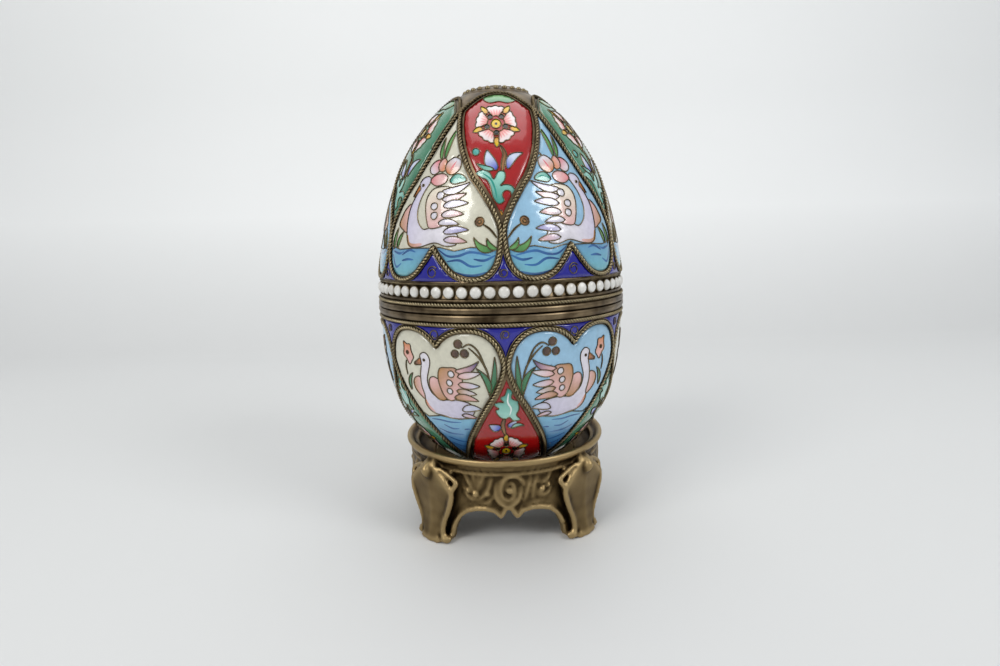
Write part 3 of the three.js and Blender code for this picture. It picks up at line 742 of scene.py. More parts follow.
def base_swan():
    water = [
        (-17, 22.9), (-6.4, 23.2), (-5.3, 23.8), (-1.5, 22.9), (3.1, 23.3), (6.5, 22.8), (17, 22.9),
        (17, 40), (-17, 40),
    ]
    layers = [paint(corners(water), water_light, water_deep, ((0, 23), (0, 31)))]
    for points in (
        [(-4.6, 24.3), (-2.0, 24.1), (0.6, 24.3), (3.4, 24.1)], [(-1.4, 25.2), (0.6, 26.0), (2.4, 25.8)],
        [(-3.2, 26.6), (-0.4, 27.4), (3.0, 27.4)],
        [(-1.6, 28.6), (1.2, 29.4), (4.4, 29.6)], [(-1.4, 30.2), (1.0, 31.0), (3.4, 31.2)],
        [(3.6, 25.9), (5.0, 25.7)],
        [(0.0, 32.4), (1.6, 32.9), (3.0, 32.8)],
    ):
        layers.append(paint(ribbon(points, 0.22), water_line, water_deep, (points[0], points[-1]), False))
    layers += [
        paint(blob([(-9.6, 6.5), (-8.5, 7.0), (-7.3, 7.0), (-7.1, 8.4), (-6.5, 9.8), (-7.2, 10.7),
            (-8.1, 11.6), (-8.9, 10.4), (-9.9, 9.4), (-9.6, 8.0)]),
              blush, orange, ((-8, 11), (-8.4, 6.5))),
        paint(disc(-8.5, 8.9, 0.4, 10), brown),
        paint(ribbon([(-9.2, 10.8), (-9.6, 12.4), (-9.4, 14.2)], 0.12), green_light),
        paint(leaf((-9.0, 17.8), (-7.4, 13.4), 0.55, -0.7), leaf_ground, green, ((-9, 18), (-8, 14))),
        paint(blob([(-4.9, 14.4), (-6.6, 14.3), (-7.6, 15.6), (-7.3, 17.2), (-6.0, 18.6), (-4.7, 19.0)]),
            blush, tan, ((-5, 16), (-8, 16))),
        paint(leaf((7.6, 6.8), (10.9, 17.2), 0.12, -1.9), green),
        paint(disc(5.4, 6.1, 0.92), brown, black, ((5, 6), (7, 8))),
        paint(disc(4.6, 8.2, 0.86), brown, black, ((4, 8), (6, 8))),
        paint(disc(6.7, 8.1, 0.92), brown, black, ((6, 8), (8, 8))),
        paint(ribbon([(6.2, 6.9), (7.8, 6.1), (9.4, 7.2), (10.4, 9.4), (11.3, 12.4)], 0.1), brown),
        paint(leaf((11.0, 18.6), (13.0, 8.6), 0.6, 0.5), green, leaf_ground, ((11, 18), (13, 9))),
        paint(leaf((11.2, 17.0), (8.9, 11.2), 0.62, 0.9), green, leaf_ground, ((11, 17), (9, 11))),
        paint(blob([
            (-3.0, 8.4), (-4.2, 8.8), (-4.6, 9.9), (-4.3, 11.2), (-4.9, 13.4), (-5.1, 16.0), (-4.7, 18.4),
            (-5.0, 20.2), (-4.2, 21.8), (-2.6, 22.6),
            (-0.6, 22.8), (1.6, 23.2), (4.2, 23.1), (6.2, 22.4), (7.4, 20.6), (6.4, 19.2), (3.6, 18.6),
            (0.8, 18.8), (-1.2, 18.4), (-2.7, 17.0),
            (-3.1, 14.6), (-2.4, 12.4), (-1.8, 10.6), (-2.0, 9.2),
        ]), swan_white, lilac, ((-4, 12), (5, 22))),
        paint(ribbon([(-4.8, 19.4), (-4.2, 21.0), (-2.8, 22.2)], 0.42), orange, blush,
            ((-5, 19), (-3, 22)), False),
        paint(corners([(-4.4, 9.6), (-6.5, 11.0), (-6.3, 11.5), (-4.2, 11.2)], 0.3), brown, orange,
            ((-6, 11), (-4, 10))),
        paint(disc(-3.4, 10.1, 0.27, 8), black),
        paint(blob([(-2.4, 14.2), (-1.2, 13.6), (0.2, 14.4), (1.2, 16.2), (1.2, 18.6), (-0.6, 18.9),
            (-2.0, 17.6), (-2.7, 16.0)]), blush, tan, ((-1, 14), (0, 19))),
        paint(blob([(0.6, 11.6), (2.4, 11.3), (4.4, 11.4), (5.6, 13.2), (5.4, 15.4), (4.4, 17.6),
            (2.6, 18.8), (1.1, 18.2), (0.3, 16.4), (-0.1, 13.8)]), tan, blush, ((0.6, 12), (5, 16))),
        paint(leaf((4.2, 12.0), (9.7, 9.6), 0.7, 0.8), blush, royal * 0.3 + black * 0.7,
            ((5, 11), (9.6, 10))),
        paint(leaf((4.6, 13.2), (9.9, 12.2), 0.75, 0.1), blush, swan_white, ((5, 13), (9, 12))),
        paint(leaf((4.6, 14.9), (9.4, 15.2), 0.75, 0.1), blush, white_blue, ((5, 15), (9, 15))),
        paint(leaf((4.0, 16.4), (8.4, 17.0), 0.7, 0.0), tan, swan_white, ((4, 16), (8, 17))),
        paint(leaf((3.2, 18.0), (8.6, 18.6), 0.75, -0.4), tan, blush, ((3, 18), (8, 18))),
        paint(leaf((4.4, 21.0), (9.0, 20.6), 0.8, -0.5), lilac, white_blue, ((4, 21), (9, 21))),
        paint(leaf((4.0, 22.2), (7.6, 22.9), 0.5, -0.2), lilac, blush, ((4, 22), (7, 23))),
        paint(disc(3.2, 12.7, 0.75, 12), swan_white),
        paint(disc(2.6, 14.7, 0.72, 12), swan_white),
        paint(disc(2.4, 16.6, 0.68, 12), swan_white),
    ]
    return layers


def lid_flower():
    return flower(-0.5, 38.8, 4.4, 90, orange * 0.6 + pink * 0.4, rgb(244, 232, 232)) + [
        paint(blob([(-3.0, 44.8), (-1.6, 43.9), (0.4, 44.2), (2.2, 43.8), (4.0, 44.6), (2.6, 45.8),
            (0, 46.4), (-2.4, 45.8)]), leaf_ground, green_light, ((0, 44), (0, 46))),
        paint(ribbon([(0.2, 34.0), (1.0, 32.2), (0.6, 30.2), (0.4, 28.4)], 0.42), brown, tan,
            ((0, 34), (0, 28))),
        paint(disc(-4.9, 32.8, 0.8), teal, turquoise, ((-5, 32), (-4, 33))),
        paint(leaf((-0.7, 28.8), (-2.6, 33.2), 1.15, 0.5), royal, white_blue, ((-0.8, 29), (-2.2, 31.6))),
        paint(leaf((1.4, 29.0), (4.9, 32.4), 0.85, 0.9), royal, white_blue, ((1.4, 29), (3, 31))),
        paint(leaf((-1.2, 29.0), (-4.9, 30.4), 0.5, 0.3), teal_light, teal, ((-1, 29), (-5, 30))),
        paint(blob([
            (-5.0, 28.4), (-3.6, 29.0), (-2.2, 28.4), (-1.4, 27.0), (-0.4, 28.6), (0.9, 28.4),
            (0.8, 26.8), (-0.2, 25.6), (0.8, 25.9),
            (2.2, 25.6), (3.0, 24.2), (2.2, 23.2), (1.9, 24.4), (0.9, 24.7), (0.2, 23.8), (0.6, 22.6),
            (-0.6, 22.0), (-1.7, 23.4),
            (-2.1, 25.4), (-2.8, 26.9), (-3.9, 27.4),
        ]), teal_light, teal, ((0, 29), (-1, 22))),
        paint(ribbon([(-3.6, 28.3), (-2.0, 27.0), (-1.2, 25.0), (-0.9, 23.2)], 0.2), teal, teal, None,
            False),
        paint(leaf((-0.2, 20.9), (0.0, 18.8), 0.3), orange, yellow, ((0, 21), (0, 19))),
    ]


def base_flower():
    return flower(-0.2, 31.9, 4.3, 90, orange * 0.4 + pink * 0.6, rgb(244, 232, 232)) + [
        paint(ribbon([(-0.4, 22.4), (-0.9, 24.6), (-0.4, 27.2)], 0.4), brown, tan, ((0, 22), (0, 27))),
        paint(leaf((-1.2, 25.2), (-3.9, 24.4), 0.95, -0.4), white_blue, royal, ((-3.6, 24), (-1.4, 25.2))),
        paint(leaf((0.2, 25.0), (2.0, 23.4), 0.85, 0.3), royal, white_blue, ((0.2, 25), (1.8, 23.6))),
        paint(leaf((0.9, 25.2), (3.8, 24.8), 0.45, -0.5), teal_light, teal, ((1, 25), (4, 25))),
        paint(blob([
            (0.2, 15.6), (1.2, 16.6), (1.0, 18.0), (2.3, 18.8), (2.6, 20.6), (2.0, 22.0), (2.9, 23.2),
            (1.4, 23.4), (0.5, 22.4), (-0.2, 22.9),
            (-1.5, 22.4), (-2.4, 20.8), (-1.6, 20.4), (-2.7, 19.4), (-1.6, 18.8), (-0.6, 18.9),
            (-1.4, 17.8), (-0.4, 17.2),
        ]), teal, teal_light, ((0, 16), (0, 23))),
        paint(ribbon([(0.4, 16.8), (0.2, 18.8), (0.9, 20.4), (0.6, 22.0)], 0.18), rgb(232, 240, 236),
            None, None, False),
    ]


def mirrored(layers):
    """The same picture facing the other way."""
    flip = np.array([-1.0, 1.0])
    return [
        dict(layer, outline=(layer["outline"] * flip)[::-1], run=layer["run"] * flip)
        for layer in layers
    ]


def curl(size, x, h, turn):
    """A small spiral of wire, given as an open line."""
    t = np.linspace(0, 1, 40)
    angle = turn + t * 2 * np.pi * 1.35
    radius = size * (1 - 0.55 * t)
    return np.stack([x + radius * np.cos(angle), h + radius * np.sin(angle)], -1)


def arc_table(half):
    height = np.linspace(0, half["reach"] * 0.985, 500)
    radius = egg_radius(half, height)
    return height, np.concatenate([[0], np.cumsum(np.hypot(np.diff(height), np.diff(radius)))])


def inset(half, loop, distance):
    """Moves a closed outline of azimuths and heights inward over the egg's surface, as (x, height)."""
    heights, lengths = arc_table(half)
    flat = np.stack([
        np.radians(loop[:, 0]) * egg_radius(half, loop[:, 1]), np.interp(loop[:, 1], heights, lengths),
    ], -1)
    flat = even(np.vstack([flat, flat[:1]]), 0.3)[:-1]
    flat = flat if signed_area(flat) > 0 else flat[::-1]
    along = unit(np.roll(flat, -1, 0) - np.roll(flat, 1, 0))
    moved = flat + distance * np.stack([-along[:, 1], along[:, 0]], -1)
    gaps = np.linalg.norm(moved[:, None] - flat[None], axis=2).min(1)
    moved = moved[gaps > distance * 0.965]
    return np.stack([moved[:, 0], np.interp(moved[:, 1], lengths, heights)], -1)


heart_margin = 0.66
drop_margin = 1.02
cell_margin = 0.62


def heart_outline(name):
    return inset({"lid": lid, "base": base}[name], heart_loop(name), heart_margin)


def drop_outline(name):
    right = heart_curve(name)
    flank = right[np.argmax(right[:, 0]):]
    flank = np.stack([sector / 2 - flank[:, 0], flank[:, 1]], -1)
    flank = flank[flank[:, 1] < arch_curve(name, flank[:, 0])]
    over = np.linspace(flank[-1, 0], -flank[-1, 0], 90)
    top = np.stack([over, arch_curve(name, over)], -1)
    loop = np.vstack([flank, top, flank[::-1] * (-1, 1)])
    return inset({"lid": lid, "base": base}[name], loop, drop_margin)


cell_floor = {"lid": 6.15, "base": 2.2}


def cell_outline(name, kind):
    right = heart_curve(name)
    low = np.argmin(right[:, 1])
    widest = np.argmax(right[:, 0])
    if kind == "cusp":
        side = right[:low][::-1]
    else:
        side = right[low:widest]
        side = np.stack([sector / 2 - side[:, 0], side[:, 1]], -1)
    loop = np.vstack([side, side[::-1] * (-1, 1)])
    floor = np.array([(-loop[0, 0], cell_floor[name]), (loop[0, 0], cell_floor[name])])
    return inset({"lid": lid, "base": base}[name], np.vstack([loop, floor]), cell_margin)


def inside(loop, points):
    """Which points lie inside a closed outline."""
    x, y = points[:, 0][:, None], points[:, 1][:, None]
    x0, y0 = loop[:, 0], loop[:, 1]
    x1, y1 = np.roll(x0, -1), np.roll(y0, -1)
    crosses = (y0 > y) != (y1 > y)
    level = np.where(np.abs(y1 - y0) < 1e-9, 1e-9, y1 - y0)
    return (crosses & (x < (x1 - x0) * (y - y0) / level + x0)).sum(1) % 2 == 1


def panel_point(half, flat, off):
    azimuth = np.degrees(flat[:, 0] / egg_radius(half, flat[:, 1]))
    return on_egg(half, azimuth, flat[:, 1], off)


def visible_lines(outline, layers, extra):
    """The wire lines of a picture, cut where a later field or the panel's edge covers them."""
    lines = []
    for index, layer in enumerate(layers):
        if not layer["wired"]:
            continue
        loop = layer["outline"]
        loop = even(np.vstack([loop, loop[:1]]), 0.3)
        seen = inside(outline, loop)
        for later in layers[index + 1:]:
            if later["wired"]:
                seen &= ~inside(later["outline"], loop)
        lines += split_runs(loop, seen)
    for line in extra:
        line = even(line, 0.3)
        lines += split_runs(line, inside(outline, line))
    return lines


def split_runs(line, seen):
    runs, start = [], None
    for i, ok in enumerate(list(seen) + [False]):
        if ok and start is None:
            start = i
        if not ok and start is not None:
            if i - start > 2:
                runs.append(line[start:i])
            start = None
    return runs


def wire_mesh(half, lines, radius):
    """Fine beaded wires lying along lines on the panel."""
    parts = []
    for line in lines:
        centre = panel_point(half, line, 0.0)
        outward = unit(panel_point(half, line, 1.0) - centre)
        swell = radius * np.where(np.arange(len(line)) % 2 == 0, 1.12, 0.86)
        along = unit(np.gradient(centre, axis=0))
        side = unit(np.cross(outward, along))
        turn = 2 * np.pi * (np.arange(5) + 0.5) / 5
        ring = np.cos(turn)[None, :, None] * side[:, None] + np.sin(turn)[None, :, None] * outward[:, None]
        verts = ((centre + 0.03 * outward)[:, None] + swell[:, None, None] * ring).reshape(-1, 3)
        faces = [
            (i * 5 + k, (i + 1) * 5 + k, (i + 1) * 5 + (k + 1) % 5, i * 5 + (k + 1) % 5)
            for i in range(len(line) - 1) for k in range(5)
        ]
        faces.append(tuple(range(5)))
        faces.append(tuple(range((len(line) - 1) * 5, len(line) * 5))[::-1])
        parts.append((verts, faces))
    return merge_parts(parts)


def grid_inside(outline, step, margin):
    low, high = outline.min(0), outline.max(0)
    across, along = np.arange(low[0], high[0], step), np.arange(low[1], high[1], step)
    points = np.stack(np.meshgrid(across, along), -1)
    points[1::2, :, 0] += step / 2
    points = points.reshape(-1, 2)
    points = points[inside(outline, points)]
    gaps = np.linalg.norm(points[:, None] - outline[None], axis=2).min(1)
    return points[gaps > margin]


enamel_depth = 0.5
field_grid = 0.62
back_grid = 2.5


def panel_mesh(name, half, outline, ground, layers, lines):
    """One enamel panel as a closed tile: its painted face, its edge and its back."""
    outline = outline if signed_area(outline) > 0 else outline[::-1]
    fields = [paint(outline, *ground)] + layers
    points, loops = [], []
    for field in fields:
        start = sum(len(p) for p in points)
        points.append(field["outline"])
        loops.append(list(range(start, start + len(field["outline"]))))
    points.append(grid_inside(outline, field_grid, 0.3))
    flat = np.vstack(points)
    made = geometry.delaunay_2d_cdt([Vector(p) for p in flat], [], loops, 1, 1e-5, True)
    flat = np.array([tuple(v) for v in made[0]])
    faces, owners = [], []
    for face, sources in zip(made[2], made[5]):
        if 0 in sources:
            faces.append(list(face))
            owners.append(max(sources))
    used = sorted({v for face in faces for v in face})
    number = {v: i for i, v in enumerate(used)}
    faces = [[number[v] for v in face] for face in faces]
    flat = flat[used]
    near_edge = np.linalg.norm(flat[:, None] - outline[None], axis=2).min(1)
    wire_points = np.vstack(lines)
    near_wire = np.minimum(near_edge, np.linalg.norm(flat[:, None] - wire_points[None], axis=2).min(1))
    off = 0.03 - 0.10 * np.exp(-near_wire / 0.4) - 0.08 * np.exp(-near_edge / 0.3)
    face_verts = panel_point(half, flat, off)

    edges = {}
    for face in faces:
        for i in range(3):
            edges[(face[i], face[(i + 1) % 3])] = True
    following = {a: b for a, b in edges if (b, a) not in edges}
    rim = [next(iter(following))]
    while following[rim[-1]] != rim[0]:
        rim.append(following[rim[-1]])
    rim_flat = flat[rim]
    back_points = np.vstack([rim_flat, grid_inside(rim_flat, back_grid, back_grid * 0.6)])
    rim_loop = list(range(len(rim)))
    back = geometry.delaunay_2d_cdt([Vector(p) for p in back_points], [], [rim_loop], 1, 1e-5, True)
    back_flat = np.array([tuple(v) for v in back[0]])
    base_index = len(face_verts)
    back_verts = panel_point(half, back_flat, -enamel_depth)
    where = {source: i for i, sources in enumerate(back[3]) for source in sources}
    all_faces = [tuple(face) for face in faces]
    for i in range(len(rim)):
        j = (i + 1) % len(rim)
        all_faces.append((rim[j], rim[i], base_index + where[i], base_index + where[j]))
    all_faces += [tuple(base_index + v for v in face[::-1]) for face in back[2]]
    verts = np.vstack([face_verts, back_verts])
    if half["up"] < 0:
        all_faces = [face[::-1] for face in all_faces]

    mesh = bpy.data.meshes.new(name)
    mesh.from_pydata([tuple(v) for v in verts * mm], [], all_faces)
    mesh.polygons.foreach_set("use_smooth", [True] * len(faces) + [False] * (len(all_faces) - len(faces)))
    colours = mesh.attributes.new("paint", "FLOAT_COLOR", "CORNER")
    values = np.tile(np.append(ground[0], 1.0), (len(mesh.loops), 1))
    edge_shade = np.exp(-near_edge / 0.9)
    for owner, polygon in zip(owners, mesh.polygons):
        field = fields[owner]
        begin, end = field["run"]
        span = end - begin
        for corner in polygon.loop_indices:
            vertex = mesh.loops[corner].vertex_index
            t = np.clip(np.dot(flat[vertex] - begin, span) / np.dot(span, span), 0, 1)
            colour = field["near"] * (1 - t) + field["far"] * t
            values[corner, :3] = colour * (1 - 0.18 * edge_shade[vertex])
    colours.data.foreach_set("color", values.ravel())
    mesh.update()
    return mesh


def enamel_material(name):
    """Glossy enamel in the panel's stored colours, a little cloudy and not quite flat."""
    material, tree, shader = new_material(name)
    painted = add_node(tree, "ShaderNodeAttribute", attribute_name="paint")
    tone = ramp(tree, cloud(tree, 900.0, 5.0), (0.3, (0.91, 0.91, 0.91)), (0.65, (1.03, 1.03, 1.03)))
    mix = add_node(tree, "ShaderNodeMix", data_type="RGBA", blend_type="MULTIPLY")
    mix.inputs["Factor"].default_value = 1.0
    tree.links.new(painted.outputs["Color"], mix.inputs["A"])
    tree.links.new(tone, mix.inputs["B"])
    tree.links.new(mix.outputs["Result"], shader.inputs["Base Color"])
    shader.inputs["Roughness"].default_value = 0.22
    shader.inputs["Coat Weight"].default_value = 0.6
    shader.inputs["Coat Roughness"].default_value = 0.06
    bump = add_node(tree, "ShaderNodeBump")
    bump.inputs["Strength"].default_value = 0.5
    bump.inputs["Distance"].default_value = 0.00012
    tree.links.new(cloud(tree, 330.0, 1.0), bump.inputs["Height"])
    tree.links.new(bump.outputs["Normal"], shader.inputs["Normal"])
    tree.links.new(bump.outputs["Normal"], shader.inputs["Coat Normal"])
    return material


enamel_slots = ("cream_enamel", "pale_blue_enamel", "red_enamel", "green_enamel", "cobalt_enamel")
enamels = {slot: enamel_material(slot) for slot in enamel_slots}
# Tones round each fine wire's five sides: bright on the crest, darkest on the side that lies down against
# the enamel, painted shade with some patina.
fine_wire_wear_and_shade = [0.35, 0.7, 0.7, 0.35, 0.1]


def lay_panels(half_name, kind, title, first, step, slot, ground, layers, extra, wire, edge_wire):
    """Makes one picture and lays it in every panel of its kind."""
    half = {"lid": lid, "base": base}[half_name]
    if kind == "swan_panel":
        outline = heart_outline(half_name)
    elif kind == "flower_panel":
        outline = drop_outline(half_name)
    else:
        outline = cell_outline(half_name, kind.split("_")[-1])
    if edge_wire:
        extra = extra + [np.vstack([outline, outline[:1]]) * 0.999]
    lines = visible_lines(outline, layers, extra)
    tile = panel_mesh(half_name + "_" + title, half, outline, ground, layers, lines)
    tile.materials.append(enamels[slot])
    verts, faces = wire_mesh(half, lines, wire)
    wires = bpy.data.meshes.new(half_name + "_" + title + "_wires")
    wires.from_pydata([tuple(v) for v in verts * mm], [], faces)
    if half["up"] < 0:
        wires.flip_normals()
    wires.polygons.foreach_set("use_smooth", [True] * len(wires.polygons))
    store_tone(wires, np.resize(fine_wire_wear_and_shade, len(verts)))
    wires.materials.append(wire_brass)
    for number in range(first, 7, step):
        middle = 30 + 60 * (number - 1) if kind in ("swan_panel", "blue_cell_cusp") else 60 * (number - 1)
        for mesh, suffix, finish in ((tile, "", slot), (wires, "_wires", "wire_brass")):
            made = bpy.data.objects.new(half_name + "_" + title + "_" + str(number) + suffix, mesh)
            made.rotation_euler = (0, 0, math.radians(middle))
            bpy.context.scene.collection.objects.link(made)
            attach(made, "root")
            if not suffix:
                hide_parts(half_name + "_" + kind + "_" + str(number))


picture_wire = 0.12
cell_wire = 0.13
pictures = {"lid": (lid_swan(), lid_flower(), 8.6), "base": (base_swan(), base_flower(), 4.4)}
for half_name, (swan, bloom, depth) in pictures.items():
    lay_panels(half_name, "swan_panel", "cream_swan", 2, 2, "cream_enamel", (cream,), swan, [],
        picture_wire, False)
    lay_panels(half_name, "swan_panel", "blue_swan", 1, 2, "pale_blue_enamel", (sky,), mirrored(swan), [],
        picture_wire, False)
    lay_panels(half_name, "flower_panel", "red_flower", 1, 2, "red_enamel", (ruby,), bloom, [],
        picture_wire, True)
    lay_panels(half_name, "flower_panel", "green_flower", 2, 2, "green_enamel", (leaf_ground,), bloom, [],
        picture_wire, True)
    spiral = [curl(1.3, 0.0, depth, 0.6)]
    lay_panels(half_name, "blue_cell_cusp", "blue_curl", 1, 1, "cobalt_enamel", (cobalt,), [], spiral,
        cell_wire, True)
    ring = [curl(1.0, 0.0, depth - 0.2, 2.2)]
    lay_panels(half_name, "blue_cell_gap", "blue_ring", 1, 1, "cobalt_enamel", (cobalt,), [], ring,
        cell_wire, True)

# ---------------------------------------------------------------------------
# Bead band: sixty-three white enamel beads, domed and glossy, each set in its own
# thin brass cup in the channel of the lid, with a fine beaded wire above them.
# ---------------------------------------------------------------------------
bead_count = 63
bead_height = 4.45
bead_profile = [
    (0, -0.5), (1.16, -0.5), (1.19, 0.25), (1.12, 0.5), (0.92, 0.74), (0.62, 0.88), (0.3, 0.95), (0, 0.97),
]
cup_profile = [(1.16, -0.5), (1.36, -0.5), (1.36, 0.2), (1.3, 0.33), (1.22, 0.36), (1.16, 0.25)]
channel_radius = 28.95


def spin(profile, sides):
    """Verts and faces of a small turned shape about its own axis, profile as (radius, height)."""
    on_axis = profile[0][0] == 0
    turn = 2 * np.pi * np.arange(sides) / sides
    verts, rings = [], []
    for radius, height in profile:
        if radius == 0:
            rings.append([len(verts)] * sides)
            verts.append((0, 0, height))
        else:
            rings.append(list(range(len(verts), len(verts) + sides)))
            verts += [(radius * math.cos(t), radius * math.sin(t), height) for t in turn]
    faces = []
    for i in range(len(rings) - (1 if on_axis else 0)):
        low, high = rings[i], rings[(i + 1) % len(rings)]
        for k in range(sides):
            n = (k + 1) % sides
            face = [low[k], low[n], high[n], high[k]]
            face = [v for j, v in enumerate(face) if v != face[j - 1]]
            if len(face) > 2:
                faces.append(tuple(face))
    return np.array(verts, float), faces


def placed(part, centre, outward, up=(0, 0, 1)):
    """Moves a small shape so that its axis points outward from centre."""
    verts, faces = part
    outward = unit(np.asarray(outward, float))
    side = unit(np.cross(np.asarray(up, float), outward))
    rise = np.cross(outward, side)
    return np.asarray(centre) + verts[:, :1] * side + verts[:, 1:2] * rise + verts[:, 2:] * outward, faces


beads, cups = [], []
for k in range(bead_count):
    turn = 2 * math.pi * k / bead_count
    outward = (math.sin(turn), -math.cos(turn), 0)
    centre = (channel_radius * outward[0], channel_radius * outward[1], seam + bead_height)
    beads.append(placed(spin(bead_profile, 20), centre, outward))
    cups.append(placed(spin(cup_profile, 20), centre, outward))
verts, faces = merge_parts(beads)
pearls = mesh_object("lid_bead_band", verts * mm, faces)
verts, faces = merge_parts(cups)
bead_cups = mesh_object("lid_bead_cups", verts * mm, faces)
verts, faces = twist(*hoop_path(29.2, seam + 6.2), 0.26, 0.95, 8, 4)
fine_wire = mesh_object("lid_fine_wire", verts * mm, faces)
for made in (bead_cups, fine_wire):
    store_tone(made.data, np.full(len(made.data.vertices), 0.62))
    made.data.materials.append(wire_brass)
    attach(made, "root")

material, tree, shader = new_material("white_bead_enamel")
tone = ramp(tree, cloud(tree, 350.0, 3.0), (0.3, (0.60, 0.57, 0.52)), (0.6, (0.80, 0.79, 0.75)))
tree.links.new(tone, shader.inputs["Base Color"])
shader.inputs["Roughness"].default_value = 0.32
shader.inputs["Coat Weight"].default_value = 0.5
shader.inputs["Coat Roughness"].default_value = 0.12
pearls.data.materials.append(material)
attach(pearls, "root")
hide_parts("lid_pearl_band")

# ---------------------------------------------------------------------------
# Crown: a small brass boss that covers the top of the lid, with a ring of brass
# granules round a rosette of six wire petals and a small knob.
# ---------------------------------------------------------------------------
crown_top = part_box("crown_medallion")[1][2] / mm
crown_profile = [
    (0, -3.6), (8.6, -3.8), (8.95, -3.4), (8.75, -3.05), (7.9, -2.5), (5.5, -1.5), (2.6, -0.95), (0, -0.8),
]
crown = spin(crown_profile, 72)
parts = [(crown[0] + (0, 0, crown_top), crown[1])]
for k in range(6):
    turn = math.radians(60 * k)
    swing = np.radians(np.arange(0, 360, 15))
    along = 3.3 + 2.0 * np.cos(swing)
    across = 1.15 * np.sin(swing) * (1 + 0.25 * np.cos(swing))
    x = along * math.sin(turn) + across * math.cos(turn)
    y = -along * math.cos(turn) + across * math.sin(turn)
    petal_path = np.stack([x, y, crown_top - 0.7 - 0.026 * along ** 2], -1)
    parts.append(tube_mesh(petal_path, np.tile((0.0, 0.0, 1.0), (24, 1)), 0.17, 6))
knob = spin([(0, -0.9), (0.95, -0.8), (1.1, -0.45), (0.9, -0.15), (0.5, -0.03), (0, 0)], 16)
parts.append((knob[0] + (0, 0, crown_top), knob[1]))
verts, faces = merge_parts(parts)
crown_boss = mesh_object("crown_boss", verts * mm, faces)
crown_boss.data.materials.append(shell_brass)
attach(crown_boss, "root")
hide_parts("crown_medallion")

granules = []
granule_count = 24
for k in range(granule_count):
    turn = 2 * math.pi * k / granule_count
    outward = np.array([math.sin(turn), -math.cos(turn), 0])
    small = spin([(0, -0.4), (0.55, -0.3), (0.66, 0.1), (0.5, 0.45), (0.25, 0.6), (0, 0.64)], 12)
    centre = 7.3 * outward + (0, 0, crown_top - 2.3)
    granules.append(placed(small, centre, 0.24 * outward + (0, 0, 0.97), -outward))
verts, faces = merge_parts(granules)
crown_ring = mesh_object("crown_granules", verts * mm, faces)
store_tone(crown_ring.data, np.full(len(crown_ring.data.vertices), 0.7))
crown_ring.data.materials.append(wire_brass)
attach(crown_ring, "root")

# ---------------------------------------------------------------------------
# Stand: one brass casting, a deep rim on an openwork apron with scrolls, leaves
# and a row of beads, on four shield-shaped legs with scrolled edges.
# ---------------------------------------------------------------------------
stand_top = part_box("stand")[1][2] / mm
apron_top = 19.6
apron_wall = 1.9
leg_back = 22.4
bead_row = 18.75
moulding = 17.5
casting_grain = 0.36

def on_stand(points, lift=0.0):
    """Points (azimuth, z, lift) on the outside of the stand's wall."""
    points = np.asarray(points, float)
    azimuth = np.radians(points[:, 0])
    radius = apron_radius(points[:, 1]) + lift + (points[:, 2] if points.shape[1] > 2 else 0)
    return np.stack([radius * np.sin(azimuth), -radius * np.cos(azimuth), points[:, 1]], -1)


def apron_radius(z):
    return 23.55 + 0.35 * np.clip((z - 17) / 3, 0, 1) - 0.25 * np.clip((12 - z) / 8, 0, 1)


arch_side = [
    (0, 9.1), (2.2, 8.8), (4.6, 6.9), (7.2, 8.3), (12, 8.8), (18, 8.7), (24, 7.9), (29, 6.2), (33, 3.2),
    (35.2, 0),
]


def arch_edge(azimuth):
    side = np.array(arch_side)
    return np.interp(np.abs((azimuth + 45) % 90 - 45), side[:, 0], side[:, 1], right=0.0)


def tapered(points, radii, sides=8):
    """A closed round stroke through points, its thickness running through radii."""
    path = through(points, 0.25)
    lengths = np.linspace(0, 1, len(path))
    thickness = np.interp(lengths, np.linspace(0, 1, len(radii)), radii)
    normals = unit(path * (1, 1, 0))
    along = unit(np.gradient(path, axis=0))
    side = unit(np.cross(normals, along))
    up = np.cross(along, side)
    turn = 2 * np.pi * np.arange(sides) / sides
    ring = np.cos(turn)[None, :, None] * side[:, None] + np.sin(turn)[None, :, None] * up[:, None]
    verts = (path[:, None] + thickness[:, None, None] * ring).reshape(-1, 3)
    faces = []
    for i in range(len(path) - 1):
        for k in range(sides):
            n = (k + 1) % sides
            faces.append((i * sides + k, i * sides + n, (i + 1) * sides + n, (i + 1) * sides + k))
    faces.append(tuple(range(sides))[::-1])
    faces.append(tuple(range((len(path) - 1) * sides, len(path) * sides)))
    return verts, faces


def stand_wall():
    """The apron as one closed band whose lower edge follows the arches."""
    columns, rows = 480, 26
    azimuth = np.arange(columns) * 360 / columns
    low = arch_edge(azimuth)
    levels = np.linspace(0, 1, rows)
    z = low[:, None] + (apron_top - low[:, None]) * levels
    outer = apron_radius(z)
    inner = outer - apron_wall
    section_r = np.concatenate([outer, inner[:, ::-1]], 1)
    section_z = np.concatenate([z, z[:, ::-1]], 1)
    turn = np.radians(azimuth)[:, None]
    verts = np.stack([section_r * np.sin(turn), -section_r * np.cos(turn), section_z], -1)
    count = 2 * rows
    faces = [
        (i * count + k, ((i + 1) % columns) * count + k, ((i + 1) % columns) * count + (k + 1) % count,
         i * count + (k + 1) % count)
        for i in range(columns) for k in range(count)
    ]
    return verts.reshape(-1, 3), faces


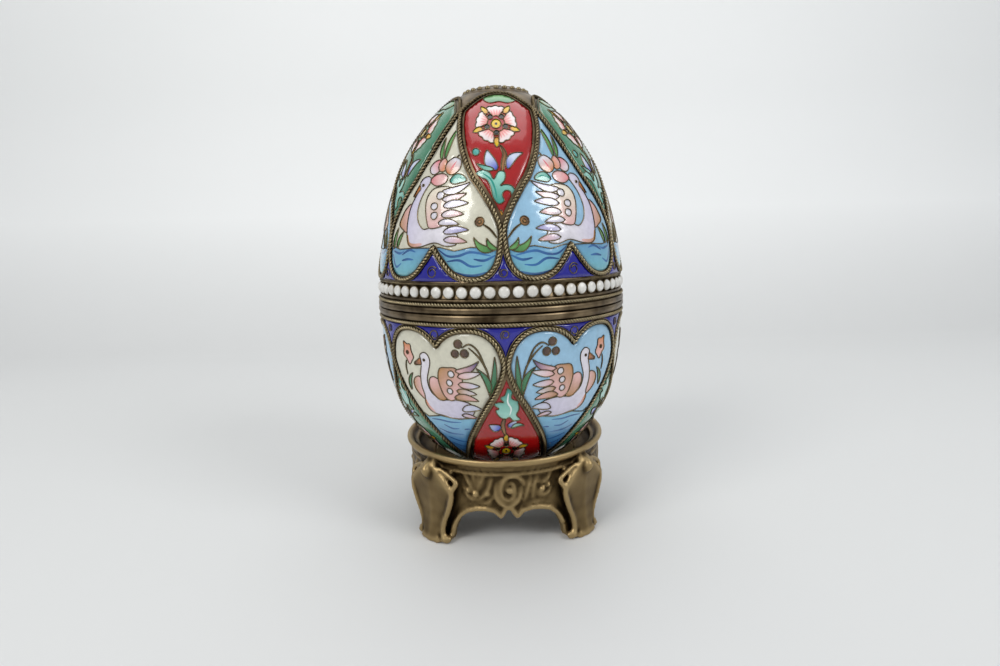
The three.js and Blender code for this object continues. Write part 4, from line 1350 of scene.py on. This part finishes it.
rim_profile = [
    (23.0, stand_top - 2.4), (24.1, stand_top - 1.9), (24.55, stand_top - 1.5), (24.9, stand_top - 0.9),
    (24.85, stand_top - 0.3), (24.5, stand_top), (24.0, stand_top - 0.05), (23.5, stand_top - 0.5),
    (22.2, stand_top - 2.4), (20.4, stand_top - 4.0), (18.3, stand_top - 4.9), (17.7, stand_top - 5.1),
    (17.7, stand_top - 6.3), (19.5, stand_top - 5.8), (21.8, stand_top - 4.2),
]
c_scroll = [
    (-4.4, 16.7), (-6.5, 14.6), (-6.3, 12.2), (-3.6, 10.6), (0.2, 10.1), (3.9, 10.9), (6.3, 12.8),
    (6.6, 14.4),
]
inner_scroll = [
    (8.6, 14.9), (6.2, 16.4), (2.5, 17.0), (-1.8, 16.4), (-3.9, 14.4), (-3.2, 12.4), (-0.4, 11.5),
    (2.4, 12.2),
    (3.2, 13.9), (1.9, 15.3), (-0.3, 15.2), (-1.3, 14.0),
]
# Each stroke is its route as (azimuth, height), its radii along the way and its lift off the wall.
strokes = [
    (c_scroll, [0.25, 0.6, 0.8, 0.75, 0.3], 0.15),
    (inner_scroll, [0.2, 0.6, 0.7, 0.6, 0.5, 0.4], 0.25),
    ([(-24.5, 16.9), (-21.5, 14.9), (-18.8, 12.9), (-17.0, 11.2)], [0.35, 0.5, 0.45, 0.3], 0.1),
    ([(-13.5, 17.0), (-15.5, 15.0), (-17.2, 13.2)], [0.45, 0.4, 0.3], 0.1),
    ([(-19.4, 17.1), (-18.9, 15.4), (-18.0, 13.8)], [0.4, 0.3, 0.2], 0.1),
    ([(-16.4, 17.0), (-17.0, 15.5), (-17.6, 14.0)], [0.35, 0.3, 0.2], 0.1),
    ([(-25.5, 14.2), (-23.4, 12.4), (-20.2, 11.4), (-17.0, 11.3)], [0.25, 0.5, 0.5, 0.3], 0.1),
    ([(-16.4, 11.4), (-13.0, 12.6), (-10.4, 14.4), (-9.0, 16.6)], [0.35, 0.5, 0.45, 0.25], 0.1),
    ([(-15.0, 10.6), (-12.0, 10.6), (-9.4, 11.6), (-8.0, 13.2)], [0.3, 0.45, 0.4, 0.25], 0.1),
    ([(24.5, 16.9), (22.0, 15.6), (19.0, 14.9), (16.2, 15.4)], [0.3, 0.5, 0.45, 0.25], 0.1),
    ([(25.2, 13.7), (22.4, 12.4), (19.3, 12.0), (16.5, 12.6), (15.2, 14.2)], [0.25, 0.5, 0.5, 0.45, 0.25],
    0.1),
    ([(16.6, 16.8), (14.6, 15.3), (13.4, 13.3), (13.8, 11.4)], [0.25, 0.5, 0.45, 0.25], 0.1),
    ([(12.4, 16.6), (11.0, 14.6), (9.6, 12.6), (8.0, 11.0)], [0.3, 0.5, 0.45, 0.25], 0.1),
    ([(19.6, 10.6), (16.0, 10.5), (12.6, 10.5), (9.4, 10.0)], [0.25, 0.45, 0.4, 0.25], 0.1),
    ([(-1.4, 9.9), (-2.6, 8.4), (-4.6, 6.75)], [0.7, 0.65, 0.3], -0.3),
    ([(1.4, 9.9), (2.6, 8.4), (4.6, 6.75)], [0.7, 0.65, 0.3], -0.3),
]
# Each dot is its azimuth, its height and its radius.
dots = [(-18.4, 12.7, 0.75), (18.9, 13.4, 0.7), (0.5, 13.7, 0.75), (-22.6, 13.4, 0.5), (22.6, 14.1, 0.5),
    (-11.4, 12.9, 0.45)]
# Each level of a leg is its height, half its width and how far its face is from the axis.
leg_levels = [
    (0.0, 3.0, 26.3), (0.9, 3.0, 26.35), (1.8, 2.6, 26.0), (4.0, 3.0, 25.5), (7.0, 4.1, 25.2),
    (10.2, 5.3, 25.25),
    (13.0, 6.4, 25.45), (14.4, 6.3, 25.6), (15.8, 5.2, 25.7), (17.2, 3.2, 25.8), (18.3, 2.0, 25.9),
    (19.2, 1.4, 25.3),
]
leg_edge = [(6.9, 13.6), (6.7, 11.6), (5.5, 8.4), (4.0, 5.2), (3.4, 2.6), (4.2, 0.75)]


def leg_shield():
    """The leg's shield as stacked sections, a shallow ridge down its middle."""
    across = np.array([-1, -0.96, -0.5, 0, 0.5, 0.96, 1])
    forward = np.array([-0.75, -0.1, 0.1, 0.3, 0.1, -0.1, -0.75])
    verts = []
    for z, half_width, front in leg_levels:
        verts += [(half_width * a, -(front + f), z) for a, f in zip(across, forward)]
        verts += [(half_width * 0.8, -leg_back, z), (-half_width * 0.8, -leg_back, z)]
    ring = len(across) + 2
    faces = [
        (i * ring + k, i * ring + (k + 1) % ring, (i + 1) * ring + (k + 1) % ring, (i + 1) * ring + k)
        for i in range(len(leg_levels) - 1) for k in range(ring)
    ]
    faces.append(tuple(range(ring))[::-1])
    faces.append(tuple(range((len(leg_levels) - 1) * ring, len(leg_levels) * ring)))
    return np.array(verts), faces


def turned(part, degrees):
    verts, faces = part
    c, s = math.cos(math.radians(degrees)), math.sin(math.radians(degrees))
    return verts @ np.array([(c, s, 0), (-s, c, 0), (0, 0, 1)]), faces


def leg_strokes():
    """The rolled scroll down each edge of the shield, its toe and the knob above it."""
    parts = []
    for side in (-1, 1):
        edge = [(side * x, -(24.9 if z > 2 else 25.2), z) for x, z in leg_edge]
        parts.append(tapered(edge, [0.5, 0.7, 0.65, 0.6, 0.65, 0.85]))
        shoulder = [
            (side * 6.6, -24.6, 13.6), (side * 7.4, -23.9, 15.2), (side * 5.4, -24.3, 16.6),
            (side * 2.6, -25.0, 18.0),
        ]
        parts.append(tapered(shoulder, [0.7, 0.6, 0.55, 0.4]))
        toe = [(side * 3.2, -24.8, 0.95), (side * 4.6, -24.6, 1.0), (side * 5.0, -24.2, 1.7)]
        parts.append(tapered(toe, [0.9, 0.95, 0.6]))
    parts.append(tapered([(0, -26.1, 15.6), (0, -26.5, 17.2), (0, -25.6, 18.8)], [0.5, 1.2, 0.6]))
    return parts


parts = [stand_wall(), spin(rim_profile, 240)]
parts.append(tube_mesh(*hoop_path(23.75, moulding, 1.0), 0.3, 8))
for side in range(4):
    for points, radii, lift in strokes:
        parts.append(turned(tapered(on_stand(points, lift - 0.12), [0.85 * r for r in radii]), 90 * side))
    for azimuth, z, radius in dots:
        sweep = np.linspace(-math.pi / 2, math.pi / 2, 7)
        dome = [(radius * math.cos(t), radius * math.sin(t)) for t in sweep[1:-1]]
        ball = spin([(0, -radius), *dome, (0, radius)], 10)
        centre = on_stand([(azimuth, z)], 0.2)[0]
        parts.append(turned(placed(ball, centre, centre * (1, 1, 0)), 90 * side))
    edge_azimuths = np.linspace(-34.6, 34.6, 120)
    edge = np.stack([edge_azimuths, arch_edge(edge_azimuths) + 0.45], -1)
    parts.append(turned(tapered(on_stand(edge[::4], 0.05), [0.75, 0.6, 0.6, 0.45, 0.6, 0.6, 0.75]),
        90 * side))
    inner_edge = np.stack([edge_azimuths, arch_edge(edge_azimuths) + 1.75], -1)
    parts.append(turned(tapered(on_stand(inner_edge[8:-8:4], -0.1), [0.3, 0.3, 0.2, 0.3, 0.3]), 90 * side))
    for azimuth in np.arange(-27, 27.1, 2.25):
        small = spin([(0, -0.4), (0.4, -0.4), (0.42, 0.05), (0.25, 0.3), (0, 0.36)], 8)
        centre = on_stand([(azimuth, bead_row)], 0.12)[0]
        parts.append(turned(placed(small, centre, centre * (1, 1, 0)), 90 * side))
    parts.append(turned(leg_shield(), 45 + 90 * side))
    parts += [turned(part, 45 + 90 * side) for part in leg_strokes()]
verts, faces = merge_parts(parts)
rough_stand = mesh_object("rough_stand", verts * mm, faces)
outward_faces(rough_stand)
remesh = rough_stand.modifiers.new("one_casting", "REMESH")
remesh.mode = "VOXEL"
remesh.voxel_size = casting_grain * mm
smoothing = rough_stand.modifiers.new("softened", "SMOOTH")
smoothing.factor = 0.5
smoothing.iterations = 2
depsgraph = bpy.context.evaluated_depsgraph_get()
cast = bpy.data.meshes.new_from_object(rough_stand.evaluated_get(depsgraph))
bpy.data.objects.remove(rough_stand)
stand = bpy.data.objects.new("cast_stand", cast)
bpy.context.scene.collection.objects.link(stand)
places = np.empty(len(cast.vertices) * 3)
cast.vertices.foreach_get("co", places)
places = places.reshape(-1, 3)
places[:, 2] = np.clip(places[:, 2], 0, stand_top * mm)
cast.vertices.foreach_set("co", places.ravel())
cast.polygons.foreach_set("use_smooth", [True] * len(cast.polygons))
cast.update()

ends = np.empty(len(cast.edges) * 2, int)
cast.edges.foreach_get("vertices", ends)
ends = ends.reshape(-1, 2)
normals = np.empty(len(cast.vertices) * 3)
cast.vertices.foreach_get("normal", normals)
normals = normals.reshape(-1, 3)
neighbours = np.bincount(ends.ravel(), minlength=len(places))[:, None]


def neighbour_mean(values):
    total = np.zeros_like(values)
    np.add.at(total, ends[:, 0], values[ends[:, 1]])
    np.add.at(total, ends[:, 1], values[ends[:, 0]])
    return total / np.maximum(neighbours, 1)


# Relief: how far each point stands out from its smoothed surroundings; through the brass ramp the casting's
# recesses are darkened, partly as patina and partly as painted shade, and its crests are lighter.
soft = places.copy()
for _ in range(14):
    soft = neighbour_mean(soft)
relief = ((places - soft) * normals).sum(1)[:, None]
relief = neighbour_mean(relief)
store_tone(cast, np.clip(0.5 + relief[:, 0] / (0.36 * mm), 0, 1))

cast_stops = ((0.2, (0.055, 0.036, 0.016)), (0.95, (0.40, 0.29, 0.14)), (0.5, (0.185, 0.128, 0.058)))
material, tree, shader = worn_brass("aged_shaded_cast_brass", 190.0, 6.0, 0.45, 0.22, cast_stops, 0.46)
bump = add_node(tree, "ShaderNodeBump")
bump.inputs["Strength"].default_value = 0.35
bump.inputs["Distance"].default_value = 0.00012
tree.links.new(cloud(tree, 1500.0, 3.0), bump.inputs["Height"])
tree.links.new(bump.outputs["Normal"], shader.inputs["Normal"])
cast.materials.append(material)
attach(stand, "root")
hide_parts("stand")
